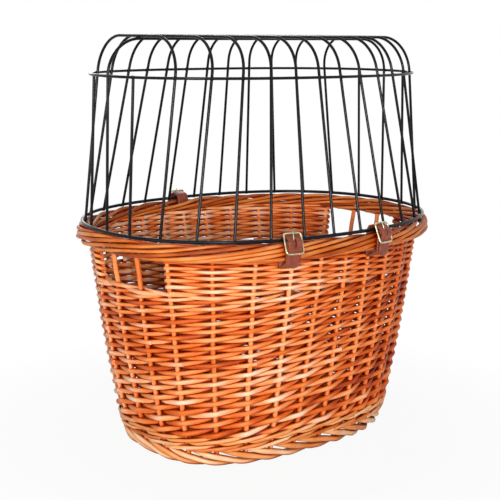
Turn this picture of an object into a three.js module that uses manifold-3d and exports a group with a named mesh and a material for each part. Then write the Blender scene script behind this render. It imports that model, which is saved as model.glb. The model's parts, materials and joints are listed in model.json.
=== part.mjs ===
// Oval wicker bicycle basket for a pet, with a hinged wire cage lid held by three buckled leather straps.
// Millimetres, +Z up. X runs along the basket, the front is at -Y, and the origin is the middle of the
// oval that the basket stands on.
import * as THREE from 'three';
import { mergeVertices } from 'three/addons/utils/BufferGeometryUtils.js';
import Module from 'manifold-3d';

// Overall form of the basket
const RIM_LENGTH = 492;
const RIM_WIDTH = 376;
const RIM_SQUARENESS = 2.3;
const FOOT_LENGTH = 354;
const FOOT_WIDTH = 249;
const FOOT_SQUARENESS = 2.75;
const WALL_SWELL = 0.8;
const WALL_THICKNESS = 13;
const BORDER_OVERHANG = 14;

// Heights of the woven bands, from the floor up
const FOOT_HEIGHT = 22;
const WALE_HEIGHT = 20;
const SIDING_HEIGHT = 186;
const HANDLE_HEIGHT = 42;
const BORDER_HEIGHT = 23;
const BASE_THICKNESS = 9;

// Rods of the bands
const STAKE_COUNT = 28;
const STAKE_DIAMETER = 6;
const FOOT_RODS = 2;
const WALE_RODS = 2;
const BORDER_RODS = 3;
const ROD_BULGE = 1.6;
const BORDER_CROWN = 4;
const FOOT_DEPTH = 18;
const BORDER_DEPTH = 20;
const WALE_PROUD = 1.5;
const WEAVE_RELIEF = 6;
const LOW_ROD_PITCH = 7.5;
const HIGH_ROD_PITCH = 3.5;
const BASE_RELIEF = 3;
const BASE_ROD_PITCH = 8;
const SLATH_WIDTH = 48;
const HANDLE_GAPS = 3;
const EDGE_WRAP = 6;

// Wire cage lid
const RING_INSET = 8;
const RING_WIRE = 4.5;
const CAGE_WIRE = 3;
const UPPER_RING_WIRE = 3.5;
const UPPER_RING_END_INSET = 4.5;
const UPPER_RING_SIDE_INSET = 39;
const UPPER_RING_RISE = 186;
const CAGE_HEIGHT = 233;
const CAGE_BEND = 45;
const ARCH_COUNT = 12;
const ARCH_END_INSET = 41;
const UPRIGHTS_PER_END = 2;

// Straps and buckles
const STRAP_WIDTH = 18;
const STRAP_THICKNESS = 2;
const STRAP_TAIL = 32;
const STRAP_RISE = 1.35;
const STRAP_SLOT_DROP = 8;
const STRAP_THREAD_INSET = 16;
const STRAP_BEND = 3;
const STRAP_SLOT_BEND = 1.8;
const STRAP_OVER_BEND = 2.5;
const BUCKLE_WIDTH = 22.5;
const BUCKLE_HEIGHT = 25;
const BUCKLE_DROP = 2.5;
const BUCKLE_LEAN = THREE.MathUtils.degToRad(24);
const BUCKLE_CORNER = 3.5;
const BUCKLE_WIRE = 2.4;
const TONGUE_WIRE = 1.8;

// Clearances
const SEAT_GAP = 0.3;
const STRAP_CLEARANCE = 0.4;
const SLOT_CLEARANCE = 0.6;
const CREW_CLEARANCE = 1;

// Steps that round the curves
const STEPS_PER_STAKE = 2;
const STEPS_PER_WIRE = 2;
const UPPER_RING_STEPS = 60;
const FOOT_STEPS = 40;
const RING_SIDES = 6;
const WIRE_SIDES = 6;
const BUCKLE_SIDES = 6;
const STAKE_SIDES = 10;
const STRAP_HOLE_SIDES = 12;
const STRAP_TIP_SIDES = 16;
const EYE_STEPS = 12;
const BEND_STEP = THREE.MathUtils.degToRad(18);
const TIGHT_BEND_STEP = THREE.MathUtils.degToRad(25);

// Levels worked out from the heights
const WALE_TOP = FOOT_HEIGHT + WALE_HEIGHT;
const SIDING_TOP = WALE_TOP + SIDING_HEIGHT;
const BORDER_BOTTOM = SIDING_TOP + HANDLE_HEIGHT;
const BORDER_TOP = BORDER_BOTTOM + BORDER_HEIGHT;
const RING_LEVEL = BORDER_TOP + SEAT_GAP + RING_WIRE / 2;
const UPPER_RING_LEVEL = RING_LEVEL + UPPER_RING_RISE;
const CAGE_TOP = RING_LEVEL + CAGE_HEIGHT;

const WILLOW = new THREE.MeshStandardMaterial({ color: 0xc4622d, roughness: 0.45, metalness: 0 });
const PALE_WILLOW = new THREE.MeshStandardMaterial({ color: 0xd98a52, roughness: 0.5, metalness: 0 });
const BLACK_WIRE = new THREE.MeshStandardMaterial({ color: 0x141516, roughness: 0.35, metalness: 0.4 });
const LEATHER = new THREE.MeshStandardMaterial({ color: 0x6b2a1c, roughness: 0.55, metalness: 0 });
const PALE_BRASS = new THREE.MeshStandardMaterial({ color: 0xd9cf9c, roughness: 0.25, metalness: 1 });

const wasm = await Module();
wasm.setup();

const basket = new THREE.Group();

function addPiece(name, geometry, material, parent = basket) {
  const mesh = new THREE.Mesh(geometry, material);
  mesh.name = name;
  parent.add(mesh);
  return mesh;
}

// Ovals: each is a rounded rectangle of the superellipse family, half as long and wide as given

function ovalPoint(oval, angle, level = 0) {
  const c = Math.cos(angle);
  const s = Math.sin(angle);
  const power = 2 / oval.squareness;
  const x = oval.a * Math.sign(c) * Math.abs(c) ** power;
  const y = oval.b * Math.sign(s) * Math.abs(s) ** power;
  return new THREE.Vector3(x, y, level);
}

function grown(oval, offset) {
  return { a: oval.a + offset, b: oval.b + offset, squareness: oval.squareness };
}

// The half width at a given distance along the oval's long or short axis
function reachAcross(half, along, alongHalf, squareness) {
  const share = Math.min(Math.abs(along) / alongHalf, 1) ** squareness;
  return half * (1 - share) ** (1 / squareness);
}

// Angles that divide an oval into equal lengths, starting on +X and going round toward +Y
function evenAngles(oval, count) {
  const samples = 4000;
  const lengths = [0];
  let last = ovalPoint(oval, 0);
  for (let i = 1; i <= samples; i += 1) {
    const next = ovalPoint(oval, (i / samples) * 2 * Math.PI);
    lengths.push(lengths[i - 1] + next.distanceTo(last));
    last = next;
  }
  const total = lengths[samples];
  const angles = [];
  let at = 0;
  for (let k = 0; k < count; k += 1) {
    const goal = (k / count) * total;
    while (lengths[at + 1] < goal) at += 1;
    const part = (goal - lengths[at]) / (lengths[at + 1] - lengths[at]);
    angles.push(((at + part) / samples) * 2 * Math.PI);
  }
  return angles;
}

const rimOval = { a: RIM_LENGTH / 2, b: RIM_WIDTH / 2, squareness: RIM_SQUARENESS };
const ringOval = grown(rimOval, -RING_INSET);
const upperRingOval = {
  a: ringOval.a - UPPER_RING_END_INSET,
  b: ringOval.b - UPPER_RING_SIDE_INSET,
  squareness: RIM_SQUARENESS,
};

// The wall's outer face: it swells from the foot to the underside of the border
function wallOval(level) {
  const share = THREE.MathUtils.clamp(level / BORDER_BOTTOM, 0, 1);
  const swell = share ** WALL_SWELL;
  const top = grown(rimOval, -BORDER_OVERHANG);
  return {
    a: THREE.MathUtils.lerp(FOOT_LENGTH / 2, top.a, swell),
    b: THREE.MathUtils.lerp(FOOT_WIDTH / 2, top.b, swell),
    squareness: THREE.MathUtils.lerp(FOOT_SQUARENESS, RIM_SQUARENESS, share),
  };
}

// Stakes stand at equal steps round the rim, and the facets of each band fall on them
const WALL_STEPS = STAKE_COUNT * STEPS_PER_STAKE;
const wallAngles = evenAngles(rimOval, WALL_STEPS);

// The angle at any stake number, also between stakes
function stakeAngle(stake) {
  const step = stake * STEPS_PER_STAKE;
  const low = Math.floor(step);
  const turn = 2 * Math.PI;
  const angleAt = (k) => {
    const laps = Math.floor(k / WALL_STEPS);
    return wallAngles[k - laps * WALL_STEPS] + laps * turn;
  };
  return THREE.MathUtils.lerp(angleAt(low), angleAt(low + 1), step - low);
}

// Solids swept round an oval

// Joins rows of points, each row a closed loop, into one skin. The rows close on themselves, or are capped.
function skin(rows, closed) {
  const width = rows[0].length;
  const positions = rows.flat().flatMap((p) => [p.x, p.y, p.z]);
  const index = [];
  const spans = closed ? rows.length : rows.length - 1;
  for (let i = 0; i < spans; i += 1) {
    const here = i * width;
    const next = ((i + 1) % rows.length) * width;
    for (let j = 0; j < width; j += 1) {
      const k = (j + 1) % width;
      index.push(here + j, next + j, next + k, here + j, next + k, here + k);
    }
  }
  if (!closed) {
    const last = (rows.length - 1) * width;
    for (let j = 1; j < width - 1; j += 1) {
      index.push(0, j, j + 1);
      index.push(last, last + j + 1, last + j);
    }
  }
  const geometry = new THREE.BufferGeometry();
  geometry.setAttribute('position', new THREE.Float32BufferAttribute(positions, 3));
  geometry.setIndex(index);
  geometry.computeVertexNormals();
  return geometry;
}

// A section is a list of [offset outward from the oval, level], listed anticlockwise
function band(section, ovalAt, angles, closed = true) {
  return skin(angles.map((angle) => sectionAt(section, ovalAt, angle)), closed);
}

function sectionAt(section, ovalAt, angle) {
  return section.map(([offset, level]) => ovalPoint(grown(ovalAt(level), offset), angle, level));
}

// The outer face of stacked rods, from the bottom up: a valley between rods and a round face on each
function rodFace(bottom, top, rods, outward) {
  const rodHeight = (top - bottom) / rods;
  const points = [];
  for (let rod = 0; rod < rods; rod += 1) {
    const level = bottom + rod * rodHeight;
    points.push([outward - ROD_BULGE, level]);
    points.push([outward, level + rodHeight * 0.3]);
    points.push([outward, level + rodHeight * 0.7]);
  }
  points.push([outward - ROD_BULGE, top]);
  return points;
}

function flatRing(oval, level, wire, steps) {
  const angles = evenAngles(oval, steps);
  const rows = angles.map((angle) => {
    const row = [];
    for (let side = 0; side < RING_SIDES; side += 1) {
      const turn = ((side + 0.5) / RING_SIDES) * 2 * Math.PI;
      const outward = (wire / 2) * Math.cos(turn);
      const up = (wire / 2) * Math.sin(turn);
      row.push(ovalPoint(grown(oval, outward), angle, level + up));
    }
    return row;
  });
  return skin(rows, true);
}

// Wires: tubes along a route of straight runs and round bends

class Route extends THREE.Curve {
  constructor(points) {
    super();
    this.points = points;
  }

  getPoint(share, target = new THREE.Vector3()) {
    const at = share * (this.points.length - 1);
    const low = Math.min(Math.floor(at), this.points.length - 2);
    return target.lerpVectors(this.points[low], this.points[low + 1], at - low);
  }

  // Every step of a sweep falls on one of the route's points
  getPointAt(share, target) {
    return this.getPoint(share, target);
  }

  getTangentAt(share, target = new THREE.Vector3()) {
    const at = Math.round(share * (this.points.length - 1));
    const before = this.points[Math.max(at - 1, 0)];
    const here = this.points[at];
    const after = this.points[Math.min(at + 1, this.points.length - 1)];
    const arrive = new THREE.Vector3().subVectors(here, before).normalize();
    const leave = new THREE.Vector3().subVectors(after, here).normalize();
    return target.addVectors(arrive, leave).normalize();
  }
}

// Puts a round bend at every inner corner of a list of points
function bentRoute(corners, radius, step = BEND_STEP) {
  const points = [corners[0]];
  for (let i = 1; i < corners.length - 1; i += 1) {
    points.push(...bendAt(corners[i - 1], corners[i], corners[i + 1], radius, step));
  }
  points.push(corners[corners.length - 1]);
  return points;
}

function bendAt(before, corner, after, radius, step) {
  const back = new THREE.Vector3().subVectors(before, corner).normalize();
  const on = new THREE.Vector3().subVectors(after, corner).normalize();
  const inside = back.angleTo(on);
  const reach = radius / Math.tan(inside / 2);
  const start = corner.clone().addScaledVector(back, reach);
  const middle = new THREE.Vector3().addVectors(back, on).normalize();
  const centre = corner.clone().addScaledVector(middle, radius / Math.sin(inside / 2));
  const first = new THREE.Vector3().subVectors(start, centre).divideScalar(radius);
  const second = back.clone().negate();
  const sweep = Math.PI - inside;
  const count = Math.max(1, Math.ceil(sweep / step));
  const points = [];
  for (let k = 0; k <= count; k += 1) {
    const turn = (sweep * k) / count;
    points.push(centre.clone()
      .addScaledVector(first, radius * Math.cos(turn))
      .addScaledVector(second, radius * Math.sin(turn)));
  }
  return points;
}

function roundSection(diameter, sides) {
  const shape = new THREE.Shape();
  for (let side = 0; side < sides; side += 1) {
    const turn = (side / sides) * 2 * Math.PI;
    const x = (diameter / 2) * Math.cos(turn);
    const y = (diameter / 2) * Math.sin(turn);
    if (side === 0) shape.moveTo(x, y);
    else shape.lineTo(x, y);
  }
  shape.closePath();
  return shape;
}

function wireAlong(points, diameter, sides = WIRE_SIDES) {
  const options = { steps: points.length - 1, extrudePath: new Route(points) };
  return new THREE.ExtrudeGeometry(roundSection(diameter, sides), options);
}

// Booleans

function toSolid(geometry) {
  const bare = geometry.clone();
  bare.deleteAttribute('normal');
  bare.deleteAttribute('uv');
  const merged = mergeVertices(bare, 1e-4);
  return new wasm.Manifold(new wasm.Mesh({
    numProp: 3,
    vertProperties: new Float32Array(merged.attributes.position.array),
    triVerts: new Uint32Array(merged.index.array),
  }));
}

function fromSolid(solid) {
  const mesh = solid.getMesh();
  const geometry = new THREE.BufferGeometry();
  const positions = new THREE.Float32BufferAttribute(mesh.vertProperties, 3);
  geometry.setAttribute('position', positions);
  geometry.setIndex(Array.from(mesh.triVerts));
  geometry.computeVertexNormals();
  return geometry;
}

function boxBetween(low, high) {
  const size = new THREE.Vector3().subVectors(high, low);
  const middle = new THREE.Vector3().addVectors(low, high).multiplyScalar(0.5);
  return new THREE.BoxGeometry(size.x, size.y, size.z).translate(middle.x, middle.y, middle.z);
}

// Straps: each has a frame of its own, with x along the rim, y outward and z up from the ring's centre

const wireCount = 2 * (ARCH_COUNT + UPRIGHTS_PER_END + 1);
const wireAngles = evenAngles(ringOval, wireCount);

// A strap sits in the middle of a gap between two wires of the lid's lower ring
function strapFrame(gap) {
  const first = ovalPoint(ringOval, wireAngles[gap], RING_LEVEL);
  const second = ovalPoint(ringOval, wireAngles[gap + 1], RING_LEVEL);
  const middle = (wireAngles[gap] + wireAngles[gap + 1]) / 2;
  const along = new THREE.Vector3().subVectors(second, first).normalize();
  const frame = new THREE.Group();
  frame.position.copy(ovalPoint(ringOval, middle, RING_LEVEL));
  frame.rotation.z = Math.atan2(-along.y, -along.x);
  frame.updateMatrix();
  return frame;
}

const rearGap = (wireCount / 2 - 1) / 2;
const frontGap = rearGap + wireCount / 2;
const strapFrames = {
  rear: strapFrame(rearGap),
  front_left: strapFrame(frontGap - 2),
  front_right: strapFrame(frontGap + 1),
};

// Places across the strap and its buckle, as [outward, up] from the ring's centre
const HALF_STRAP = STRAP_THICKNESS / 2;
const HALF_BAR = BUCKLE_WIRE / 2;
const BAR_REACH = HALF_STRAP + SEAT_GAP + HALF_BAR;
const CHAPE_OUT = RING_INSET + STRAP_CLEARANCE + HALF_STRAP;
const BILLET_OUT = CHAPE_OUT + STRAP_THICKNESS + SEAT_GAP;
const CENTRE_BAR = [CHAPE_OUT + BAR_REACH, -BUCKLE_DROP];
const WRAP_TOP = CENTRE_BAR[1] + BAR_REACH;
const OVER_RING_UP = RING_WIRE / 2 + STRAP_RISE + HALF_STRAP;
const BORDER_BOTTOM_UP = BORDER_BOTTOM - RING_LEVEL;
const BORDER_TOP_UP = BORDER_TOP - RING_LEVEL;
const SLOT_UP = BORDER_BOTTOM_UP - STRAP_SLOT_DROP;
const WALL_OUT = RING_INSET - BORDER_OVERHANG;
const THREAD_OUT = RING_INSET - STRAP_THREAD_INSET;

// A place in the leaning buckle: so far up its frame from the centre bar, and so far out of its face
function onBuckle(rise, proud) {
  const c = Math.cos(BUCKLE_LEAN);
  const s = Math.sin(BUCKLE_LEAN);
  return [CENTRE_BAR[0] - rise * s + proud * c, CENTRE_BAR[1] + rise * c + proud * s];
}

const TOP_BAR = onBuckle(BUCKLE_HEIGHT / 2, 0);
const BOTTOM_BAR = onBuckle(-BUCKLE_HEIGHT / 2, 0);
const OVER_PROUD = 2 * BAR_REACH + HALF_BAR;

// The strap's middle line, with the radius of each bend: round the centre bar, down the border and in below
// it, up through the border, over the ring, under the top bar, over the centre bar, under the bottom bar
// and down to its tip
function strapCorners() {
  return [
    [[CENTRE_BAR[0] + BAR_REACH, CENTRE_BAR[1] - HALF_STRAP], 0],
    [[CENTRE_BAR[0] + BAR_REACH, WRAP_TOP], BAR_REACH],
    [[CHAPE_OUT, WRAP_TOP], BAR_REACH],
    [[CHAPE_OUT, BORDER_BOTTOM_UP], STRAP_BEND],
    [[WALL_OUT + STRAP_THICKNESS, SLOT_UP], STRAP_BEND],
    [[THREAD_OUT, SLOT_UP], STRAP_SLOT_BEND],
    [[THREAD_OUT, BORDER_TOP_UP + HALF_STRAP], STRAP_BEND],
    [[-RING_WIRE, OVER_RING_UP], STRAP_BEND],
    [onBuckle(BUCKLE_HEIGHT / 2 - HALF_STRAP, -BAR_REACH - SEAT_GAP), STRAP_OVER_BEND],
    [onBuckle(0, OVER_PROUD), STRAP_OVER_BEND],
    [onBuckle(-BUCKLE_HEIGHT / 2, -BAR_REACH - 2 * SEAT_GAP), STRAP_BEND],
    [[BILLET_OUT, -STRAP_TAIL], 0],
  ];
}

// Rounds each corner of the middle line with its own radius
function strapLine() {
  const corners = strapCorners().map(([[out, up], radius]) => ({
    point: new THREE.Vector3(out, up, 0),
    radius,
  }));
  const points = [corners[0].point];
  for (let i = 1; i < corners.length - 1; i += 1) {
    const { point, radius } = corners[i];
    points.push(...bendAt(corners[i - 1].point, point, corners[i + 1].point, radius, TIGHT_BEND_STEP));
  }
  points.push(corners[corners.length - 1].point);
  return points.filter((point, i) => i === 0 || point.distanceTo(points[i - 1]) > 1e-3);
}

// One edge of the strap, half a thickness to the left or right of its middle line
function strapEdge(line, side) {
  const route = new Route(line);
  return line.map((point, i) => {
    const tangent = route.getTangentAt(i / (line.length - 1));
    const before = line[Math.max(i - 1, 0)];
    const after = line[i === 0 ? 1 : i];
    const segment = new THREE.Vector3().subVectors(after, before).normalize();
    const spread = (side * HALF_STRAP) / tangent.dot(segment);
    return new THREE.Vector2(point.x - tangent.y * spread, point.y + tangent.x * spread);
  });
}

// Turns a solid drawn in the outward and up plane, with its depth along the rim, into the strap's frame
function standUp(geometry, depth) {
  const basis = new THREE.Matrix4().makeBasis(
    new THREE.Vector3(0, 1, 0),
    new THREE.Vector3(0, 0, 1),
    new THREE.Vector3(1, 0, 0),
  );
  return geometry.translate(0, 0, -depth / 2).applyMatrix4(basis);
}

const TONGUE_ARC = HALF_BAR + SEAT_GAP + TONGUE_WIRE / 2;
const CREW_HALF_WIDTH = TONGUE_WIRE / 2 + CREW_CLEARANCE;

function barAlongRim(diameter, length, place, sides) {
  const bar = new THREE.CylinderGeometry(diameter / 2, diameter / 2, length, sides);
  return bar.rotateZ(Math.PI / 2).translate(0, ...place);
}

// What is cut away beside the round tip of the strap's tail
function tipCut() {
  const half = STRAP_WIDTH / 2;
  const block = boxBetween(
    new THREE.Vector3(-half - SEAT_GAP, BILLET_OUT - STRAP_THICKNESS, -STRAP_TAIL - STRAP_THICKNESS),
    new THREE.Vector3(half + SEAT_GAP, BILLET_OUT + 2 * STRAP_THICKNESS, half - STRAP_TAIL),
  );
  const round = new THREE.CylinderGeometry(half, half, 6 * STRAP_THICKNESS, STRAP_TIP_SIDES);
  round.translate(0, BILLET_OUT, half - STRAP_TAIL);
  return toSolid(block).subtract(toSolid(round));
}

// The tongue's middle line, from its eye round the centre bar to its tip past the top bar
function tongueLine() {
  const places = [
    onBuckle(TONGUE_ARC * 0.6, TONGUE_ARC * 0.8),
    onBuckle(BUCKLE_HEIGHT / 4, TONGUE_ARC),
    onBuckle(BUCKLE_HEIGHT / 2 + BUCKLE_WIRE, TONGUE_ARC),
  ];
  return places.map(([out, up]) => new THREE.Vector3(0, out, up));
}

function strapGeometry() {
  const line = strapLine();
  const outline = [...strapEdge(line, 1), ...strapEdge(line, -1).reverse()];
  const options = { depth: STRAP_WIDTH, bevelEnabled: false };
  const ribbon = standUp(new THREE.ExtrudeGeometry(new THREE.Shape(outline), options), STRAP_WIDTH);
  const wrapDiameter = 2 * (BAR_REACH + HALF_STRAP + SEAT_GAP);
  const crewSlot = barAlongRim(wrapDiameter, 2 * CREW_HALF_WIDTH, CENTRE_BAR, STRAP_HOLE_SIDES);
  const tongueHole = wireAlong(tongueLine(), 2 * CREW_HALF_WIDTH, STRAP_HOLE_SIDES);
  const cuts = [toSolid(crewSlot), toSolid(tongueHole), tipCut()];
  return fromSolid(cuts.reduce((solid, cut) => solid.subtract(cut), toSolid(ribbon)));
}

// The frame leans over the shoulder of the border, with its top bar above the ring
function buckleGeometry() {
  const top = new THREE.Vector3(0, ...TOP_BAR);
  const bottom = new THREE.Vector3(0, ...BOTTOM_BAR);
  const half = new THREE.Vector3(BUCKLE_WIDTH / 2, 0, 0);
  const corners = [
    bottom.clone().sub(half),
    bottom.clone().add(half),
    top.clone().add(half),
    top.clone().sub(half),
  ];
  const loop = corners.flatMap((corner, i) => bendAt(
    corners[(i + 3) % 4], corner, corners[(i + 1) % 4], BUCKLE_CORNER, TIGHT_BEND_STEP,
  ));
  const lean = new THREE.Vector3().subVectors(top, bottom).normalize();
  const face = new THREE.Vector3().crossVectors(half.clone().normalize(), lean).normalize();
  const rows = loop.map((point, i) => {
    const before = loop[(i + loop.length - 1) % loop.length];
    const after = loop[(i + 1) % loop.length];
    const along = new THREE.Vector3().subVectors(after, before).normalize();
    const outward = new THREE.Vector3().crossVectors(along, face);
    const row = [];
    for (let side = 0; side < BUCKLE_SIDES; side += 1) {
      const turn = (side / BUCKLE_SIDES) * 2 * Math.PI;
      row.push(point.clone()
        .addScaledVector(outward, HALF_BAR * Math.cos(turn))
        .addScaledVector(face, HALF_BAR * Math.sin(turn)));
    }
    return row;
  });
  const frame = toSolid(skin(rows, true));
  const bar = barAlongRim(BUCKLE_WIRE, BUCKLE_WIDTH, CENTRE_BAR, BUCKLE_SIDES);
  return fromSolid(frame.add(toSolid(bar)));
}

// The tongue is an eye round the centre bar and a pin that rests on the top bar
function tongueGeometry() {
  const eye = new THREE.TorusGeometry(TONGUE_ARC, TONGUE_WIRE / 2, WIRE_SIDES, EYE_STEPS);
  eye.rotateY(Math.PI / 2).translate(0, ...CENTRE_BAR);
  const pin = wireAlong(tongueLine(), TONGUE_WIRE);
  return fromSolid(toSolid(eye).add(toSolid(pin)));
}

// The way that a strap is threaded: a notch in the weave under the border, and a slit up through the border
function strapNotch(frame) {
  const half = HALF_STRAP + SLOT_CLEARANCE;
  return threadCut(frame, WALL_OUT + WALL_THICKNESS, SLOT_UP - half, BORDER_BOTTOM_UP + half);
}

function strapSlit(frame) {
  const half = HALF_STRAP + SLOT_CLEARANCE;
  return threadCut(frame, THREAD_OUT + half, BORDER_BOTTOM_UP - half, BORDER_TOP_UP + half);
}

function threadCut(frame, outer, bottom, top) {
  const halfWidth = STRAP_WIDTH / 2 + SLOT_CLEARANCE;
  const inner = THREAD_OUT - HALF_STRAP - SLOT_CLEARANCE;
  const cut = boxBetween(
    new THREE.Vector3(-halfWidth, inner, bottom),
    new THREE.Vector3(halfWidth, outer, top),
  );
  return toSolid(cut.applyMatrix4(frame.matrix));
}

// Woven basket

const stakeAngles = Array.from({ length: STAKE_COUNT }, (_, stake) => stakeAngle(stake));

function addFoot() {
  const foot = [
    ...rodFace(0, FOOT_HEIGHT, FOOT_RODS, 0),
    [-FOOT_DEPTH, FOOT_HEIGHT],
    [-FOOT_DEPTH, 0],
  ];
  addPiece('foot_border', band(foot, wallOval, evenAngles(rimOval, FOOT_STEPS)), WILLOW);
}

// The base's rods go round and round, over one stick and under the next, from the slath in the middle outward
function addBase() {
  const bottom = FOOT_HEIGHT + SEAT_GAP;
  const top = bottom + BASE_THICKNESS;
  const edge = grown(wallOval(bottom), -WALL_THICKNESS - SEAT_GAP);
  const ring = (inset, levelAt) => {
    const oval = grown(edge, -inset);
    return stakeAngles.map((angle, stake) => ovalPoint(oval, angle, levelAt(stake)));
  };
  const rounds = Math.floor((edge.b - SLATH_WIDTH / 2) / BASE_ROD_PITCH);
  const rings = [ring(rounds * BASE_ROD_PITCH, () => top - BASE_RELIEF / 2)];
  for (let round = rounds - 1; round >= 0; round -= 1) {
    const over = (stake) => (stake + round) % 2 === 0;
    rings.push(ring((round + 0.5) * BASE_ROD_PITCH, (stake) => (over(stake) ? top : top - BASE_RELIEF)));
  }
  rings.push(ring(0, () => top - BASE_RELIEF / 2), ring(0, () => bottom));
  addPiece('base_mat', skin(rings, false), WILLOW);
}

function addWale() {
  const waleBottom = FOOT_HEIGHT + SEAT_GAP;
  const wale = [
    ...rodFace(waleBottom, WALE_TOP, WALE_RODS, WALE_PROUD),
    [-WALL_THICKNESS, WALE_TOP],
    [-WALL_THICKNESS, waleBottom],
  ];
  addPiece('upsett_wale', band(wale, wallOval, stakeAngles), WILLOW);
}

// Levels of the rods that cross a stake. They grow thinner toward the rim, so they lie closer there.
function rodLevels() {
  const levels = [WALE_TOP + LOW_ROD_PITCH / 2];
  let next = levels[0];
  while (next < SIDING_TOP) {
    const share = (next - WALE_TOP) / (BORDER_BOTTOM - WALE_TOP);
    next += THREE.MathUtils.lerp(LOW_ROD_PITCH, HIGH_ROD_PITCH, share);
    if (next < SIDING_TOP - SEAT_GAP) levels.push(next);
  }
  return levels;
}

// The siding's section at one stake. Every other rod passes in front of the stake and the rest behind it.
// The rods climb one row from each even stake to the odd one after it.
function wovenSection(stake, levels) {
  const climb = stake % 2;
  const rods = levels.slice(climb, levels.length - 1 + climb);
  const outer = [
    [-WEAVE_RELIEF / 2, WALE_TOP + SEAT_GAP],
    ...rods.map((level, rod) => [(rod + stake) % 2 === 0 ? 0 : -WEAVE_RELIEF, level]),
    [-WEAVE_RELIEF / 2, SIDING_TOP],
  ];
  const inner = outer.map(([offset, level]) => [offset - WALL_THICKNESS + WEAVE_RELIEF, level]);
  return [...outer, ...inner.reverse()];
}

function addSiding() {
  const levels = rodLevels();
  const rows = stakeAngles.map((angle, stake) => sectionAt(wovenSection(stake, levels), wallOval, angle));
  addPiece('siding', skin(rows, true), WILLOW);
}

// At each end the weave leaves a handle opening of a few stake gaps, from the stake before the long axis on
const HANDLE_START = -1;
const HANDLE_END = HANDLE_START + HANDLE_GAPS;
const HALF_TURN = STAKE_COUNT / 2;

function addSidePanels() {
  const bottom = SIDING_TOP + SEAT_GAP;
  const top = BORDER_BOTTOM - SEAT_GAP;
  const section = [[0, bottom], [0, top], [-WALL_THICKNESS, top], [-WALL_THICKNESS, bottom]];
  const girth = evenAngles(rimOval, STAKE_COUNT).map((angle) => ovalPoint(rimOval, angle));
  const pitch = girth[0].distanceTo(girth[1]);
  const wrap = EDGE_WRAP / pitch;
  const panels = [
    ['rear_side_panel', HANDLE_END, HALF_TURN + HANDLE_START, [strapFrames.rear]],
    ['front_side_panel', HALF_TURN + HANDLE_END, STAKE_COUNT + HANDLE_START,
      [strapFrames.front_left, strapFrames.front_right]],
  ];
  for (const [name, first, last, frames] of panels) {
    const angles = [stakeAngle(first - wrap)];
    for (let stake = first; stake <= last; stake += 1 / STEPS_PER_STAKE) {
      angles.push(stakeAngle(stake));
    }
    angles.push(stakeAngle(last + wrap));
    let panel = toSolid(band(section, wallOval, angles, false));
    for (const frame of frames) panel = panel.subtract(strapNotch(frame));
    addPiece(name, fromSolid(panel), WILLOW);
  }
}

// The bare stakes that cross each handle opening
function addHandleStakes() {
  let number = 1;
  for (const end of [0, HALF_TURN]) {
    for (let stake = HANDLE_START + 1; stake < HANDLE_END; stake += 1) {
      const angle = stakeAngle(end + stake);
      const middle = -WALL_THICKNESS / 2;
      const low = ovalPoint(grown(wallOval(SIDING_TOP), middle), angle, SIDING_TOP);
      const high = ovalPoint(grown(wallOval(BORDER_BOTTOM), middle), angle, BORDER_BOTTOM);
      const along = new THREE.Vector3().subVectors(high, low).normalize();
      const tilt = Math.hypot(along.x, along.y) * (STAKE_DIAMETER / 2);
      const setBack = (SEAT_GAP + tilt) / along.z;
      const route = [
        low.clone().addScaledVector(along, setBack),
        high.clone().addScaledVector(along, -setBack),
      ];
      addPiece(`handle_stake_${number}`, wireAlong(route, STAKE_DIAMETER, STAKE_SIDES), PALE_WILLOW);
      number += 1;
    }
  }
}

function addRimBorder() {
  const inner = -BORDER_DEPTH;
  const border = [
    ...rodFace(BORDER_BOTTOM, BORDER_TOP, BORDER_RODS, 0),
    [inner + BORDER_CROWN, BORDER_TOP],
    [inner, BORDER_TOP - BORDER_CROWN],
    [inner, BORDER_BOTTOM + BORDER_CROWN],
    [inner + BORDER_CROWN, BORDER_BOTTOM],
  ];
  let rim = toSolid(band(border, () => rimOval, wallAngles));
  for (const frame of Object.values(strapFrames)) rim = rim.subtract(strapSlit(frame));
  addPiece('rim_border', fromSolid(rim), WILLOW);
}

// Wire cage lid

function addRings() {
  const steps = wireCount * STEPS_PER_WIRE;
  addPiece('lower_ring', flatRing(ringOval, RING_LEVEL, RING_WIRE, steps), BLACK_WIRE);
  const upper = flatRing(upperRingOval, UPPER_RING_LEVEL, UPPER_RING_WIRE, UPPER_RING_STEPS);
  addPiece('upper_ring', upper, BLACK_WIRE);
}

// Upright wires stand inside both rings. They lean, so they are set in a little further than they touch.
const CAGE_LEAN = Math.hypot(1, UPPER_RING_SIDE_INSET / UPPER_RING_RISE);
const lowerSeat = grown(ringOval, -(RING_WIRE / 2 + SEAT_GAP + CAGE_WIRE / 2) * CAGE_LEAN);
const upperSeat = grown(upperRingOval, -(UPPER_RING_WIRE / 2 + SEAT_GAP + CAGE_WIRE / 2) * CAGE_LEAN);
const FOOT_LEVEL = RING_LEVEL - RING_WIRE / 2 + CAGE_WIRE / 4;

// A point on the straight line through two others, at a given level
function onLine(low, high, level) {
  return new THREE.Vector3().lerpVectors(low, high, (level - low.z) / (high.z - low.z));
}

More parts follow.
